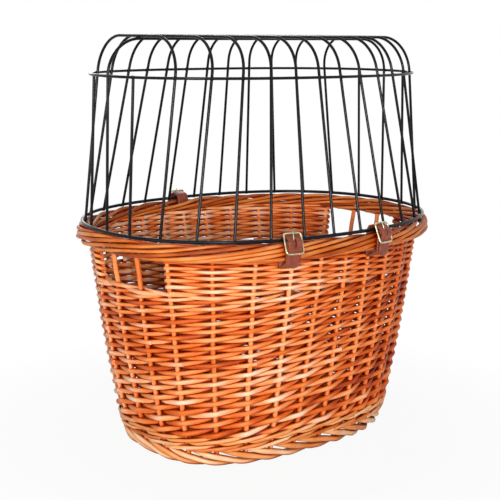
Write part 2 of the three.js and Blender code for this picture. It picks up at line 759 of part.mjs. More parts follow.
function addArches() {
  const pitch = (2 * (upperRingOval.a - ARCH_END_INSET)) / (ARCH_COUNT - 1);
  for (let i = 0; i < ARCH_COUNT; i += 1) {
    const wire = wireCount / 2 - UPRIGHTS_PER_END / 2 - 1 - i;
    const rearLow = ovalPoint(lowerSeat, wireAngles[wire], RING_LEVEL);
    const x = (i - (ARCH_COUNT - 1) / 2) * pitch;
    const y = reachAcross(upperSeat.b, x, upperSeat.a, upperSeat.squareness);
    const rearHigh = new THREE.Vector3(x, y, UPPER_RING_LEVEL);
    const rear = [FOOT_LEVEL, CAGE_TOP].map((level) => onLine(rearLow, rearHigh, level));
    const front = rear.map((point) => new THREE.Vector3(point.x, -point.y, point.z));
    const route = bentRoute([front[0], front[1], rear[1], rear[0]], CAGE_BEND);
    const name = `cross_arch_${String(i + 1).padStart(2, '0')}`;
    addPiece(name, wireAlong(route, CAGE_WIRE), BLACK_WIRE);
  }
}

// The ridge wire runs the whole length, under the flat tops of the arches
function addRidge() {
  const top = CAGE_TOP - CAGE_WIRE - SEAT_GAP;
  const low = new THREE.Vector3(lowerSeat.a, 0, RING_LEVEL);
  const high = new THREE.Vector3(upperSeat.a, 0, UPPER_RING_LEVEL);
  const right = [FOOT_LEVEL, top].map((level) => onLine(low, high, level));
  const left = right.map((point) => new THREE.Vector3(-point.x, 0, point.z));
  const route = bentRoute([left[0], left[1], right[1], right[0]], CAGE_BEND);
  addPiece('ridge_wire', wireAlong(route, CAGE_WIRE), BLACK_WIRE);
}

// Short uprights beside the ridge, which stop at the upper ring
function addEndUprights() {
  const half = wireCount / 2;
  const uprights = [
    ['right_rear_upright', 1],
    ['right_front_upright', wireCount - 1],
    ['left_rear_upright', half - 1],
    ['left_front_upright', half + 1],
  ];
  for (const [name, wire] of uprights) {
    const low = ovalPoint(lowerSeat, wireAngles[wire], RING_LEVEL);
    const reach = reachAcross(upperSeat.a, low.y, upperSeat.b, upperSeat.squareness);
    const high = new THREE.Vector3(Math.sign(low.x) * reach, low.y, UPPER_RING_LEVEL);
    const levels = [FOOT_LEVEL, UPPER_RING_LEVEL + UPPER_RING_WIRE / 2];
    const route = levels.map((level) => onLine(low, high, level));
    addPiece(name, wireAlong(route, CAGE_WIRE), BLACK_WIRE);
  }
}

function addStraps() {
  for (const [place, frame] of Object.entries(strapFrames)) {
    basket.add(frame);
    addPiece(`${place}_strap`, strapGeometry(), LEATHER, frame);
    addPiece(`${place}_buckle`, buckleGeometry(), PALE_BRASS, frame);
    addPiece(`${place}_tongue`, tongueGeometry(), PALE_BRASS, frame);
  }
}

addFoot();
addBase();
addWale();
addSiding();
addSidePanels();
addHandleStakes();
addRimBorder();
addRings();
addArches();
addRidge();
addEndUprights();
addStraps();

export default basket;
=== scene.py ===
"""An oval wicker bicycle basket for a small pet, with a hinged wire cage lid and leather straps.

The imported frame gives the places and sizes, in metres. The wicker is made rod by rod, as it is woven.
"""
import json
import math
import random
from collections import namedtuple

import bmesh
import bpy
import numpy as np
from mathutils import Matrix, Vector


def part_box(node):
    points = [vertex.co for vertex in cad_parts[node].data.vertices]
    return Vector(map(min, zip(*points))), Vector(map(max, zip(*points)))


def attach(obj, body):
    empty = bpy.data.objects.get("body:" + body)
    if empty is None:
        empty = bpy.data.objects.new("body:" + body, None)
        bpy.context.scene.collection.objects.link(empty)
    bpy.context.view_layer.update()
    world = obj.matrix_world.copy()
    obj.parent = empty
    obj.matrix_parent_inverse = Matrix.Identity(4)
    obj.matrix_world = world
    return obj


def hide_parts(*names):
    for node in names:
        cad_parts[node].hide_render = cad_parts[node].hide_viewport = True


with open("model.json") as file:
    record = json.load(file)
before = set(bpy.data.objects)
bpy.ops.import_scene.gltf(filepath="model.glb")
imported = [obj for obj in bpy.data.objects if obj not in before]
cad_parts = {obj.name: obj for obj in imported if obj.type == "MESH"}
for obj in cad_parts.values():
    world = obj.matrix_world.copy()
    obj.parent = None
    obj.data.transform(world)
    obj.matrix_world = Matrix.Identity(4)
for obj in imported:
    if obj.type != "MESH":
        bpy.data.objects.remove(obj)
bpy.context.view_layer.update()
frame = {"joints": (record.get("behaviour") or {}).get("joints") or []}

MM = 0.001
UP = np.array((0.0, 0.0, 1.0))
ALONG = np.array((1.0, 0.0, 0.0))
ACROSS = np.array((0.0, 1.0, 0.0))
SEED = 28

Oval = namedtuple("Oval", "a b squareness")

# Levels and ovals of the woven bands
FOOT_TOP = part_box("foot_border")[1].z
WALE_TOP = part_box("upsett_wale")[1].z
SIDING_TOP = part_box("siding")[1].z
BORDER_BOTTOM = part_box("rim_border")[0].z
BORDER_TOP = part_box("rim_border")[1].z
RIM = Oval(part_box("rim_border")[1].x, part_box("rim_border")[1].y, 2.3)
FOOT = Oval(177 * MM, 124.5 * MM, 2.75)
WALL_SWELL = 0.8
WALL_THICKNESS = 13 * MM
BORDER_OVERHANG = 14 * MM

# Stakes and rods of the weave, which is coarser low on the wall than high up
STAKES = 28
BAY = 45 * MM
STAKE_RADIUS = 2.8 * MM
DRAWN_STAKE = 3.3 * MM
STAKE_PROUD = 2.4 * MM
STAKE_TUCK = 4 * MM
STAKE_TINTS = (0.5, 0.72)
LOW_PITCH = 7.5 * MM
HIGH_PITCH = 3.5 * MM
LOW_ROD_RADIUS = 4.0 * MM
HIGH_ROD_RADIUS = 2.3 * MM
ROD_SIZES = (0.94, 1.06)
ROD_HUG = 0.65
ROD_END = 0.2
END_LIFT = 0.4
BEND = 0.99
OUTER_THINNING = 0.1
STEPS_PER_BAY = 12
ROD_SIDES = 8
THICK_ROD_SIDES = 10

# Lengths of the weaving rods in bays, and the share of them whose ends show
SIDING_ROD_PAIRS = (5, 9)
LEAST_BAYS = 6
SHOWN_ENDS = 0.3
PANEL_ROD_BAYS = (9, 16)
HIDDEN_SWING = -0.98

# Unevenness of the rods
LILT_SIZE = 1.1 * MM
WAVES = 3
SIDING_WOBBLE = 0.35 * MM
PANEL_WOBBLE = 0.3 * MM
WALE_WOBBLE = 0.5 * MM
RIM_WOBBLE = 0.8 * MM

# Tints of the rods, from 0 for the darkest to 1 for the palest
PALE_TINTS = (0.7, 0.86)
ORANGE_TINTS = (0.56, 0.7)
RED_TINTS = (0.4, 0.54)
ORANGE_FROM = 0.46
RED_FROM = 0.82
# Painted highlight: a rod is paler where it bulges round a stake, and a little darker between
BULGE_HIGHLIGHT = 0.18
FLAT_TINT = -0.02

# Handle openings, as the stakes at their edges, at the right and the left end
RIGHT_HANDLE = (-1, 2)
LEFT_HANDLE = (13, 16)
HANDLE_BAYS = RIGHT_HANDLE[1] - RIGHT_HANDLE[0]
SIDE_BAYS = LEFT_HANDLE[0] - RIGHT_HANDLE[1]
CORNER_FAN = 0.18
EDGE_SPREAD = 0.3
EDGE_DROP = 0.2

# Painted shade: where the rods are darker and redder, in stakes counted on from just before the left
# handle, and by how much
SIDE_SHADE_START = LEFT_HANDLE[0] - 1
SIDE_SHADE_STAKES = (0, 3, 6, 7, 11, 15, 19, 23)
SIDE_SHADE_TINTS = (0, -0.12, -0.07, 0, -0.25, -0.35, -0.2, 0)

# Wires of the lid
RING_INSET = 8 * MM
UPPER_END_INSET = 4.5 * MM
UPPER_SIDE_INSET = 39 * MM
RING_WIRE = 4.5 * MM
CAGE_WIRE = 3 * MM
UPPER_RING_WIRE = 3.5 * MM
WIRE_COUNT = 30
ARCH_COUNT = 12
ARCH_END_INSET = 41 * MM
CAGE_BEND = 45 * MM
WIRE_GAP = 0.3 * MM
COATED_WIRE = 3.6 * MM
WIRE_SIDES = 12
RING_STEPS = 360
BEND_STEP = math.radians(6)
STRAIGHT_STEPS = 8

# Straps and buckles
STRAP_WIDTH = 18 * MM
STRAP_THICKNESS = 2 * MM
STRAP_TAIL = 32 * MM
BUCKLE_WIDTH = 22.5 * MM
BUCKLE_HEIGHT = 25 * MM
BUCKLE_DROP = 2.5 * MM
BUCKLE_LEAN = math.radians(24)
BUCKLE_CORNER = 3.5 * MM
BUCKLE_WIRE = 2.4 * MM
TONGUE_WIRE = 1.8 * MM
TONGUE_BEND = 4 * MM
SWING_ROOM = math.radians(150)


# Ovals

OVAL_SAMPLES = 4000


def oval_xy(a, b, squareness, angle):
    c = np.cos(angle)
    s = np.sin(angle)
    power = 2 / squareness
    return a * np.sign(c) * np.abs(c) ** power, b * np.sign(s) * np.abs(s) ** power


def grown(oval, offset):
    return Oval(oval.a + offset, oval.b + offset, oval.squareness)


def reach_across(half, along, along_half, squareness):
    """Half an oval's width at a place along it."""
    return half * (1 - min(abs(along) / along_half, 1) ** squareness) ** (1 / squareness)


def even_angles(oval):
    """Turns a share of the way round an oval, by length from +X, into the angle there."""
    angles = np.linspace(0, 2 * math.pi, OVAL_SAMPLES + 1)
    x, y = oval_xy(*oval, angles)
    lengths = np.concatenate(([0], np.cumsum(np.hypot(np.diff(x), np.diff(y)))))
    return lambda share: np.interp(np.mod(share, 1) * lengths[-1], lengths, angles)


rim_angle = even_angles(RIM)


def on_oval(oval, stake, out, level):
    """Points at a place counted in stakes round an oval, out from it and up."""
    angle = rim_angle(stake / STAKES)
    x, y = oval_xy(oval.a + out, oval.b + out, oval.squareness, angle)
    return np.stack(np.broadcast_arrays(x, y, level), axis=-1)


def fanned(stake):
    """Between the handles the stakes stand wider apart at the corners, and closer along the sides."""
    turned = np.mod(stake - RIGHT_HANDLE[0], STAKES / 2)
    side = np.clip((turned - HANDLE_BAYS) / SIDE_BAYS, 0, 1)
    return stake + SIDE_BAYS * CORNER_FAN / (2 * math.pi) * np.sin(2 * math.pi * side)


def on_wall(stake, out, level):
    """Points on the wall's outer face, which swells from the foot to the border."""
    share = np.clip(level / BORDER_BOTTOM, 0, 1)
    swell = share ** WALL_SWELL
    top = grown(RIM, -BORDER_OVERHANG)
    a = FOOT.a + (top.a - FOOT.a) * swell
    b = FOOT.b + (top.b - FOOT.b) * swell
    squareness = FOOT.squareness + (top.squareness - FOOT.squareness) * share
    return on_oval(Oval(a, b, squareness), fanned(stake), out, level)


def curve_through(knots, values, at):
    """A smooth curve through values at the knots, read at any places between."""
    knots = np.asarray(knots, float)
    slopes = np.gradient(values, knots)
    i = np.clip(np.searchsorted(knots, at) - 1, 0, len(knots) - 2)
    span = knots[i + 1] - knots[i]
    u = (at - knots[i]) / span
    rise = values[i] * (1 + 2 * u) * (1 - u) ** 2 + values[i + 1] * u * u * (3 - 2 * u)
    return rise + span * (slopes[i] * u * (1 - u) ** 2 - slopes[i + 1] * u * u * (1 - u))


def unit(vectors):
    vectors = np.asarray(vectors, float)
    return vectors / np.maximum(np.linalg.norm(vectors, axis=-1, keepdims=True), 1e-12)


# Meshes

class Rods:
    """Gathers round rods into one mesh.

    Each point keeps its rod's tint, its place along and round the rod, and the rod's number.
    """

    def __init__(self):
        self.points = []
        self.faces = []
        self.tints = []
        self.grains = []
        self.size = 0
        self.number = 0

    def add(self, path, radius, tint=0.5, guide=UP, sides=ROD_SIDES, closed=False):
        path = np.asarray(path, float)
        count = len(path)
        radius = np.broadcast_to(radius, count)
        if closed:
            tangent = unit(np.roll(path, -1, axis=0) - np.roll(path, 1, axis=0))
        else:
            tangent = unit(np.gradient(path, axis=0))
        side = unit(np.cross(guide, tangent))
        up = np.cross(tangent, side)
        turn = np.linspace(0, 2 * math.pi, sides, endpoint=False)
        spoke = np.cos(turn)[None, :, None] * side[:, None] + np.sin(turn)[None, :, None] * up[:, None]
        self.points.append((path[:, None] + spoke * radius[:, None, None]).reshape(-1, 3))
        steps = np.linalg.norm(np.diff(path, axis=0), axis=1)
        length = np.concatenate(([0], np.cumsum(steps)))
        grain = np.stack(np.broadcast_arrays(length[:, None], turn[None], float(self.number)), axis=-1)
        self.grains.append(grain.reshape(-1, 3))
        self.tints.append(np.repeat(np.broadcast_to(tint, count), sides))
        self._skin(count, sides, closed)
        self.size += count * sides
        self.number += 1

    def _skin(self, count, sides, closed):
        here = np.arange(count if closed else count - 1)[:, None] * sides
        after = (here + sides) % (count * sides)
        j = np.arange(sides)[None]
        k = (j + 1) % sides
        quads = np.stack((here + j, here + k, after + k, after + j), axis=-1).reshape(-1, 4)
        self.faces.extend((quads + self.size).tolist())
        if not closed:
            ring = list(range(self.size, self.size + sides))
            self.faces.append(ring[::-1])
            self.faces.append([i + (count - 1) * sides for i in ring])

    def build(self, name, material):
        mesh = bpy.data.meshes.new(name)
        mesh.from_pydata(np.concatenate(self.points).tolist(), [], self.faces)
        tint = mesh.attributes.new("tint", "FLOAT", "POINT")
        tint.data.foreach_set("value", np.concatenate(self.tints).astype(np.float32))
        grain = mesh.attributes.new("grain", "FLOAT_VECTOR", "POINT")
        grain.data.foreach_set("vector", np.concatenate(self.grains).astype(np.float32).ravel())
        return shaded(name, mesh, material)


def shaded(name, mesh, material, sharp=50):
    mesh.polygons.foreach_set("use_smooth", [True] * len(mesh.polygons))
    mesh.set_sharp_from_angle(angle=math.radians(sharp))
    mesh.materials.append(material)
    piece = bpy.data.objects.new(name, mesh)
    bpy.context.scene.collection.objects.link(piece)
    return piece


def settle(piece, body, slot, *nodes):
    """The piece rides on a body and stands for its nodes; the slot is not used."""
    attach(piece, body)
    if nodes:
        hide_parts(*nodes)


def settle_wicker(rods, name, material, node):
    settle(rods.build(name, material), "basket", "stained_willow", node)


# Materials

def new_material(name, **constants):
    """A principled material with its constant values set on the shader's own sockets."""
    material = bpy.data.materials.new(name)
    material.use_nodes = True
    shader = material.node_tree.nodes["Principled BSDF"]
    for socket, value in constants.items():
        shader.inputs[socket.replace("_", " ")].default_value = value
    return material, material.node_tree.nodes, material.node_tree.links, shader


def ramp_node(nodes, links, factor, stops):
    node = nodes.new("ShaderNodeValToRGB")
    elements = node.color_ramp.elements
    while len(elements) < len(stops):
        elements.new(0.5)
    for element, (place, color) in zip(elements, stops):
        element.position = place
        element.color = (*color, 1)
    links.new(factor, node.inputs["Fac"])
    return node.outputs["Color"]


NOISE_ROUGHNESS = 0.6


def noise_node(nodes, links, vector, scale, detail):
    node = nodes.new("ShaderNodeTexNoise")
    node.inputs["Scale"].default_value = scale
    node.inputs["Detail"].default_value = detail
    node.inputs["Roughness"].default_value = NOISE_ROUGHNESS
    links.new(vector, node.inputs["Vector"])
    return node.outputs["Fac"]


def math_node(nodes, links, operation, first, second):
    node = nodes.new("ShaderNodeMath")
    node.operation = operation
    for socket, value in zip(node.inputs, (first, second)):
        if isinstance(value, (int, float)):
            socket.default_value = value
        else:
            links.new(value, socket)
    return node.outputs[0]


def times_plus(nodes, links, value, factor, offset):
    result = math_node(nodes, links, "MULTIPLY_ADD", value, factor)
    result.node.inputs[2].default_value = offset
    return result


def rough_from(nodes, links, shader, value, factor, least):
    """Roughness that rises with a value."""
    links.new(times_plus(nodes, links, value, factor, least), shader.inputs["Roughness"])


def object_place(nodes):
    return nodes.new("ShaderNodeTexCoord").outputs["Object"]


def bump_node(nodes, links, height, shader, strength, distance):
    node = nodes.new("ShaderNodeBump")
    node.inputs["Strength"].default_value = strength
    node.inputs["Distance"].default_value = distance
    links.new(height, node.inputs["Height"])
    links.new(node.outputs["Normal"], shader.inputs["Normal"])


def scaled(nodes, links, vector, scale):
    node = nodes.new("ShaderNodeVectorMath")
    node.operation = "MULTIPLY"
    links.new(vector, node.inputs[0])
    node.inputs[1].default_value = scale
    return node.outputs["Vector"]


def openness(nodes):
    """1 on an open face, toward 0 deep in a gap."""
    gap = nodes.new("ShaderNodeAmbientOcclusion")
    gap.samples = GAP_SAMPLES
    gap.inputs["Distance"].default_value = WILLOW_GAP
    return gap.outputs["AO"]


def with_gap_shade(nodes, links, color, open_share):
    """The colour where it is open, darkened by painted shade deep in the gaps."""
    depth = ramp_node(nodes, links, open_share, GAP_SHADE)
    mix = nodes.new("ShaderNodeMix")
    mix.data_type = "RGBA"
    mix.blend_type = "MULTIPLY"
    mix.inputs["Factor"].default_value = 1
    links.new(color, mix.inputs["A"])
    links.new(depth, mix.inputs["B"])
    return mix.outputs["Result"]


def attribute_node(nodes, name):
    node = nodes.new("ShaderNodeAttribute")
    node.attribute_name = name
    return node


WILLOW_GAP = 14 * MM
GAP_SAMPLES = 8
WILLOW_GLOSS = 0.2
STREAK_SCALE = (18, 0.9, 7.3)
STREAK_CONTRAST = 0.3
PATCH_SCALE = (22, 0.15, 3.1)
PATCH_CONTRAST = 0.7

# The stain's shades by tint, and the painted shade that multiplies them by how open the place is
RED_STAIN = [
    (0.0, (0.08, 0.010, 0.002)),
    (0.25, (0.36, 0.040, 0.005)),
    (0.5, (0.68, 0.130, 0.014)),
    (0.75, (0.88, 0.31, 0.10)),
    (1.0, (0.95, 0.62, 0.42)),
]
BROWN_STAIN = [
    (0.0, (0.07, 0.013, 0.003)),
    (0.25, (0.30, 0.044, 0.006)),
    (0.5, (0.58, 0.138, 0.018)),
    (0.75, (0.80, 0.32, 0.10)),
    (1.0, (0.90, 0.58, 0.34)),
]
GAP_SHADE = [
    (0.2, (0.20, 0.02, 0.003)),
    (0.5, (0.66, 0.28, 0.09)),
    (0.78, (1, 1, 1)),
]


def willow_material(name, shades):
    """Stained, varnished willow: each rod has its own tint, with streaks and darker blotches, and
    painted shade in the gaps.
    """
    material, nodes, links, shader = new_material(name)
    tint = attribute_node(nodes, "tint").outputs["Fac"]
    grain = attribute_node(nodes, "grain").outputs["Vector"]
    streak = noise_node(nodes, links, scaled(nodes, links, grain, STREAK_SCALE), 1.6, 4)
    patch = noise_node(nodes, links, scaled(nodes, links, grain, PATCH_SCALE), 1.0, 2)
    varied = times_plus(nodes, links, patch, PATCH_CONTRAST, -PATCH_CONTRAST / 2)
    fine = times_plus(nodes, links, streak, STREAK_CONTRAST, -STREAK_CONTRAST / 2)
    both = math_node(nodes, links, "ADD", varied, fine)
    factor = math_node(nodes, links, "ADD", tint, both)
    color = ramp_node(nodes, links, factor, shades)
    # Painted shade: the colour is darkened deep in the gaps between rods, where less light reaches, and
    # the gloss is lowered there
    open_share = openness(nodes)
    gloss = math_node(nodes, links, "MULTIPLY", open_share, WILLOW_GLOSS)
    links.new(gloss, shader.inputs["Specular IOR Level"])
    color = with_gap_shade(nodes, links, color, open_share)
    links.new(color, shader.inputs["Base Color"])
    rough_from(nodes, links, shader, streak, 0.25, 0.28)
    bump_node(nodes, links, streak, shader, 0.25, 0.4 * MM)
    return material


def finish_from(nodes, links, shader, noise, shades, rise, least):
    """Shade and roughness that follow a noise over the piece."""
    links.new(ramp_node(nodes, links, noise, shades), shader.inputs["Base Color"])
    rough_from(nodes, links, shader, noise, rise, least)


def wire_material():
    """Black gloss coating with a faint orange-peel."""
    material, nodes, links, shader = new_material("black_wire", Specular_IOR_Level=0.1)
    mottle = noise_node(nodes, links, object_place(nodes), 900, 2)
    shades = [
        (0.3, (0.004, 0.004, 0.005)),
        (0.7, (0.010, 0.010, 0.011)),
    ]
    finish_from(nodes, links, shader, mottle, shades, 0.1, 0.14)
    bump_node(nodes, links, mottle, shader, 0.04, 0.1 * MM)
    return material


def leather_material():
    """Red-brown bridle leather with a fine pebble grain and worn, darker mottling."""
    material, nodes, links, shader = new_material(
        "brown_leather",
        Specular_IOR_Level=0.25,
        Coat_Weight=0.3,
        Coat_Roughness=0.18,
    )
    place = object_place(nodes)
    wear = noise_node(nodes, links, place, 120, 4)
    pebble = nodes.new("ShaderNodeTexVoronoi")
    pebble.inputs["Scale"].default_value = 900
    links.new(place, pebble.inputs["Vector"])
    shades = [
        (0.25, (0.11, 0.021, 0.009)),
        (0.55, (0.24, 0.046, 0.019)),
        (0.8, (0.36, 0.086, 0.037)),
    ]
    finish_from(nodes, links, shader, wear, shades, 0.3, 0.3)
    bump_node(nodes, links, pebble.outputs["Distance"], shader, 0.25, 0.3 * MM)
    return material


def brass_material():
    """Pale plated brass, polished, with a little tarnish."""
    material, nodes, links, shader = new_material("pale_brass", Metallic=1.0)
    tarnish = noise_node(nodes, links, object_place(nodes), 260, 4)
    shades = [
        (0.25, (0.34, 0.26, 0.13)),
        (0.5, (0.56, 0.49, 0.32)),
        (0.8, (0.70, 0.64, 0.48)),
    ]
    finish_from(nodes, links, shader, tarnish, shades, 0.2, 0.14)
    return material


WILLOW = willow_material("stained_willow", RED_STAIN)
BORDER_WILLOW = willow_material("border_willow", BROWN_STAIN)
WIRE = wire_material()
LEATHER = leather_material()
BRASS = brass_material()


# Wicker

rng = random.Random(SEED)
WALL_MIDDLE = -WALL_THICKNESS / 2


def up_the_wall(level, low, high):
    """A size that changes evenly from the wale to the border."""
    return low + (high - low) * (level - WALE_TOP) / (BORDER_BOTTOM - WALE_TOP)


def pitch_at(level):
    return up_the_wall(level, LOW_PITCH, HIGH_PITCH)


def rod_radius_at(level):
    return up_the_wall(level, LOW_ROD_RADIUS, HIGH_ROD_RADIUS)


def row_levels(bottom, top):
    levels = []
    level = bottom + pitch_at(bottom) / 2
    while level < top - pitch_at(level) / 4:
        levels.append(level)
        level += pitch_at(level)
    return levels


def rod_tint():
    """Nearly half of the rods are pale, most others orange and some redder."""
    kind = rng.random()
    if kind < ORANGE_FROM:
        return rng.uniform(*PALE_TINTS)
    if kind < RED_FROM:
        return rng.uniform(*ORANGE_TINTS)
    return rng.uniform(*RED_TINTS)


def painted_side_shade(stake):
    """Painted shade: the rods are darker and redder at the right of the front, and a little at the left
    end.
    """
    return np.interp(np.mod(stake - SIDE_SHADE_START, STAKES), SIDE_SHADE_STAKES, SIDE_SHADE_TINTS)


def painted_light_tint(stake, swing):
    """What is added to a rod's tint: the painted side shade, and a painted highlight that makes it
    paler where it bulges round a stake.
    """
    return painted_side_shade(stake) + BULGE_HIGHLIGHT * np.abs(swing) + FLAT_TINT


LILT = [[rng.uniform(-1, 1) * LILT_SIZE for _ in range(STAKES)] for _ in range(2)]


def lilt(stake, level):
    """The rows aren't quite even: at each stake they are beaten down a little more or less."""
    share = np.clip(up_the_wall(level, 0, 1), 0, 1)
    low, high = (np.interp(np.mod(stake, STAKES), range(STAKES + 1), [*row, row[0]]) for row in LILT)
    return np.sin(math.pi * share) * (low * (1 - share) + high * share)


def wobble(stake, size):
    """A rod's own small waves, from a few random sines."""
    total = np.zeros(len(stake))
    for _ in range(WAVES):
        share = rng.uniform(0.3, 1)
        rate = rng.uniform(0.8, 3.2)
        shift = rng.uniform(0, 6.3)
        total = total + share * np.sin(rate * stake + shift)
    return total * size / 2


def swing_reach(radius):
    """How far a rod's middle swings out and in from the wall's middle, round a stake."""
    return STAKE_RADIUS + ROD_HUG * radius


def in_and_out(phase):
    """Straight from stake to stake, with a short bend at each: 1 at even stakes and -1 at odd ones."""
    return np.arcsin(BEND * np.cos(math.pi * phase)) / math.asin(BEND)


def climbing_levels():
    """A weaving rod's level at each stake, as it climbs by its own thickness from one to the next."""
    levels = [WALE_TOP - LOW_PITCH / 2]
    while levels[-1] + pitch_at(levels[-1]) < SIDING_TOP:
        levels.append(levels[-1] + pitch_at(levels[-1]))
    last = (len(levels) - 1) // 2 * 2
    levels = np.array(levels[:last + 1])
    goal = SIDING_TOP - pitch_at(SIDING_TOP) / 2
    return levels[0] + (levels - levels[0]) * (goal - levels[0]) / (levels[-1] - levels[0])


def lay_rod(rods, start, levels, first, last):
    """One weaving rod, behind one stake and in front of the next, from step to step of its climb."""
    climb = np.linspace(first, last + ROD_END, (last - first) * STEPS_PER_BAY + 3)
    past = np.clip(climb - last, 0, None) / ROD_END
    end_swing = -math.cos(math.pi * last) * (1 + END_LIFT * past)
    swing = np.where(past > 0, end_swing, -in_and_out(climb))
    level = np.interp(climb, range(len(levels)), levels)
    stake = start + climb
    radius = rod_radius_at(level) * rng.uniform(*ROD_SIZES)
    out = WALL_MIDDLE + swing * swing_reach(radius)
    height = level + lilt(stake, level) + wobble(stake, SIDING_WOBBLE)
    tint = rod_tint() + painted_light_tint(stake, swing)
    rods.add(on_wall(stake, out, height), radius * (1 - OUTER_THINNING * swing), tint)


def close_edge(rods, handle, side):
    """A level rod over the climbing rods' ends, at a handle's lower edge. It ends behind stakes."""
    first = handle[0] - 1
    if side * in_and_out(first) > 0:
        first -= 1
    last = handle[1] + 1
    if side * in_and_out(last) > 0:
        last += 1
    stake = np.linspace(first, last, (last - first) * STEPS_PER_BAY + 1)
    swing = side * in_and_out(stake)
    radius = rod_radius_at(SIDING_TOP) * rng.uniform(*ROD_SIZES)
    rise = (EDGE_SPREAD * side - EDGE_DROP) * pitch_at(SIDING_TOP)
    height = SIDING_TOP + rise + wobble(stake, PANEL_WOBBLE)
    rods.add(on_wall(stake, WALL_MIDDLE + swing * swing_reach(radius), height), radius, rod_tint())


def add_siding():
    """French randing: a rod starts at every stake, and all of them climb side by side."""
    rods = Rods()
    levels = climbing_levels()
    top = len(levels) - 1
    for start in range(STAKES):
        first = 0
        while first < top:
            last = first + 2 * rng.randint(*SIDING_ROD_PAIRS)
            if top - last < LEAST_BAYS:
                last = top
            shows = last < top and rng.random() < SHOWN_ENDS
            lay_rod(rods, start, levels, first, last + 1 if shows else last)
            first = last
    for handle in (LEFT_HANDLE, RIGHT_HANDLE):
        for side in (1, -1):
            close_edge(rods, handle, side)
    settle_wicker(rods, "siding_weave", WILLOW, "siding")


def panel_route(first, last):
    """The weaver's way to and fro between two edge stakes, as stake, swing and level."""
    stakes, swings, levels = [], [], []
    rows = row_levels(SIDING_TOP, BORDER_BOTTOM + LOW_PITCH)
    for row, level in enumerate(rows):
        onward = row % 2 == 0
        ends = (first, last) if onward else (last, first)
        stake = np.linspace(*ends, (last - first) * STEPS_PER_BAY + 1)
        stakes.append(stake)
        swings.append(in_and_out(stake + row))
        levels.append(np.full(len(stake), level))
        if row + 1 < len(rows):
            turn = np.linspace(0, math.pi, 9)[1:-1]
            edge = ends[1]
            reach = swing_reach(rod_radius_at(level)) / BAY
            stakes.append(edge + (1 if onward else -1) * reach * np.sin(turn))
            swings.append(math.cos(math.pi * (edge + row)) * np.cos(turn))
            levels.append(np.interp(turn, (0, math.pi), (level, rows[row + 1])))
    return np.concatenate(stakes), np.concatenate(swings), np.concatenate(levels)


def add_panel(name, node, first, last):
    """A panel of randing beside the handles, in rods that end behind stakes."""
    rods = Rods()
    stake, swing, level = panel_route(first, last)
    radius = rod_radius_at(level)
    height = level + wobble(stake, PANEL_WOBBLE)
    points = on_wall(stake, WALL_MIDDLE + swing * swing_reach(radius), height)
    start = 0
    while start < len(points) - 1:
        goal = min(start + rng.randint(*PANEL_ROD_BAYS) * STEPS_PER_BAY, len(points) - 1)
        while goal < len(points) - 1 and swing[goal] > HIDDEN_SWING:
            goal += 1
        stretch = slice(start, goal + 1)
        tint = rod_tint() + painted_light_tint(stake[stretch], swing[stretch])
        rods.add(points[stretch], radius[stretch] * rng.uniform(0.96, 1.06), tint)
        start = goal
    settle_wicker(rods, name, WILLOW, node)


def add_wall_stakes():
    """Upright stakes, from the foot to the border, four of them bare in the handles.

    They stand out as ridges: in the rear panel on the inside, and elsewhere on the outside.
    """
    rods = Rods()
    for stake in range(STAKES):
        level = np.linspace(FOOT_TOP - STAKE_TUCK, BORDER_BOTTOM + STAKE_TUCK, 26)
        bare = any(first < stake < last for first, last in (RIGHT_HANDLE, LEFT_HANDLE))
        rear = RIGHT_HANDLE[1] <= stake <= LEFT_HANDLE[0]
        above = 0 if bare else -1 if rear else 1
        ends = (WALE_TOP, WALE_TOP + 2 * LOW_PITCH, SIDING_TOP - 2 * LOW_PITCH, SIDING_TOP)
        proud = STAKE_PROUD * np.interp(level, ends, (0, 1, 1, above))
        place = np.full(len(level), float(stake)) + wobble(level * 40, 0.02)
        taper = np.linspace(1.08, 0.92, len(level))
        tint = rng.uniform(*STAKE_TINTS)
        path = on_wall(place, WALL_MIDDLE + proud, level)
        rods.add(path, DRAWN_STAKE * taper, tint, guide=ALONG, sides=THICK_ROD_SIDES)
    piece = rods.build("wall_stakes", WILLOW)
    settle(piece, "basket", "pale_willow", *(f"handle_stake_{i}" for i in range(1, 5)))


WALE_ROUNDS = 2
WALE_STRANDS = 3
WALE_PIECES = 4
WALE_LAP = 0.6
WALE_ROD = 2.7 * MM
WALE_PROUD = 0.8 * MM
WALE_TINT = 0.12


def add_wale():
    """Waling: three rods at a time, each in front of two stakes and behind one, like a twisted rope."""
    rods = Rods()
    height = (WALE_TOP - FOOT_TOP) / WALE_ROUNDS
    for turn in range(WALE_ROUNDS):
        level = FOOT_TOP + (turn + 0.5) * height
        for strand in range(WALE_STRANDS):
            start = strand + turn
            stake = np.linspace(start, start + STAKES + WALE_LAP, STAKES * STEPS_PER_BAY)
            share = np.mod((stake - start) / WALE_STRANDS, 1)
            swing = np.clip(1.5 * np.cos(2 * math.pi * (share - 0.33)) + 0.5, -1, 1)
            rise = np.interp(share, (0, 0.1, 0.6, 0.85, 1), (-0.3, -0.32, 0.36, 0.1, -0.3)) * height
            out = WALL_MIDDLE + swing * swing_reach(WALE_ROD) + WALE_PROUD
            path = on_wall(stake, out, level + rise + wobble(stake, WALE_WOBBLE))
            for part in np.array_split(np.arange(len(path)), WALE_PIECES):
                stop = min(part[-1] + 2, len(path))
                size = WALE_ROD * np.linspace(1.08, 0.88, stop - part[0])
                rods.add(path[part[0]:stop], size, rod_tint() + WALE_TINT)
    settle_wicker(rods, "upsett_wale_rods", BORDER_WILLOW, "upsett_wale")


FOOT_ROD = 4.3 * MM
FOOT_TINT = 0.2


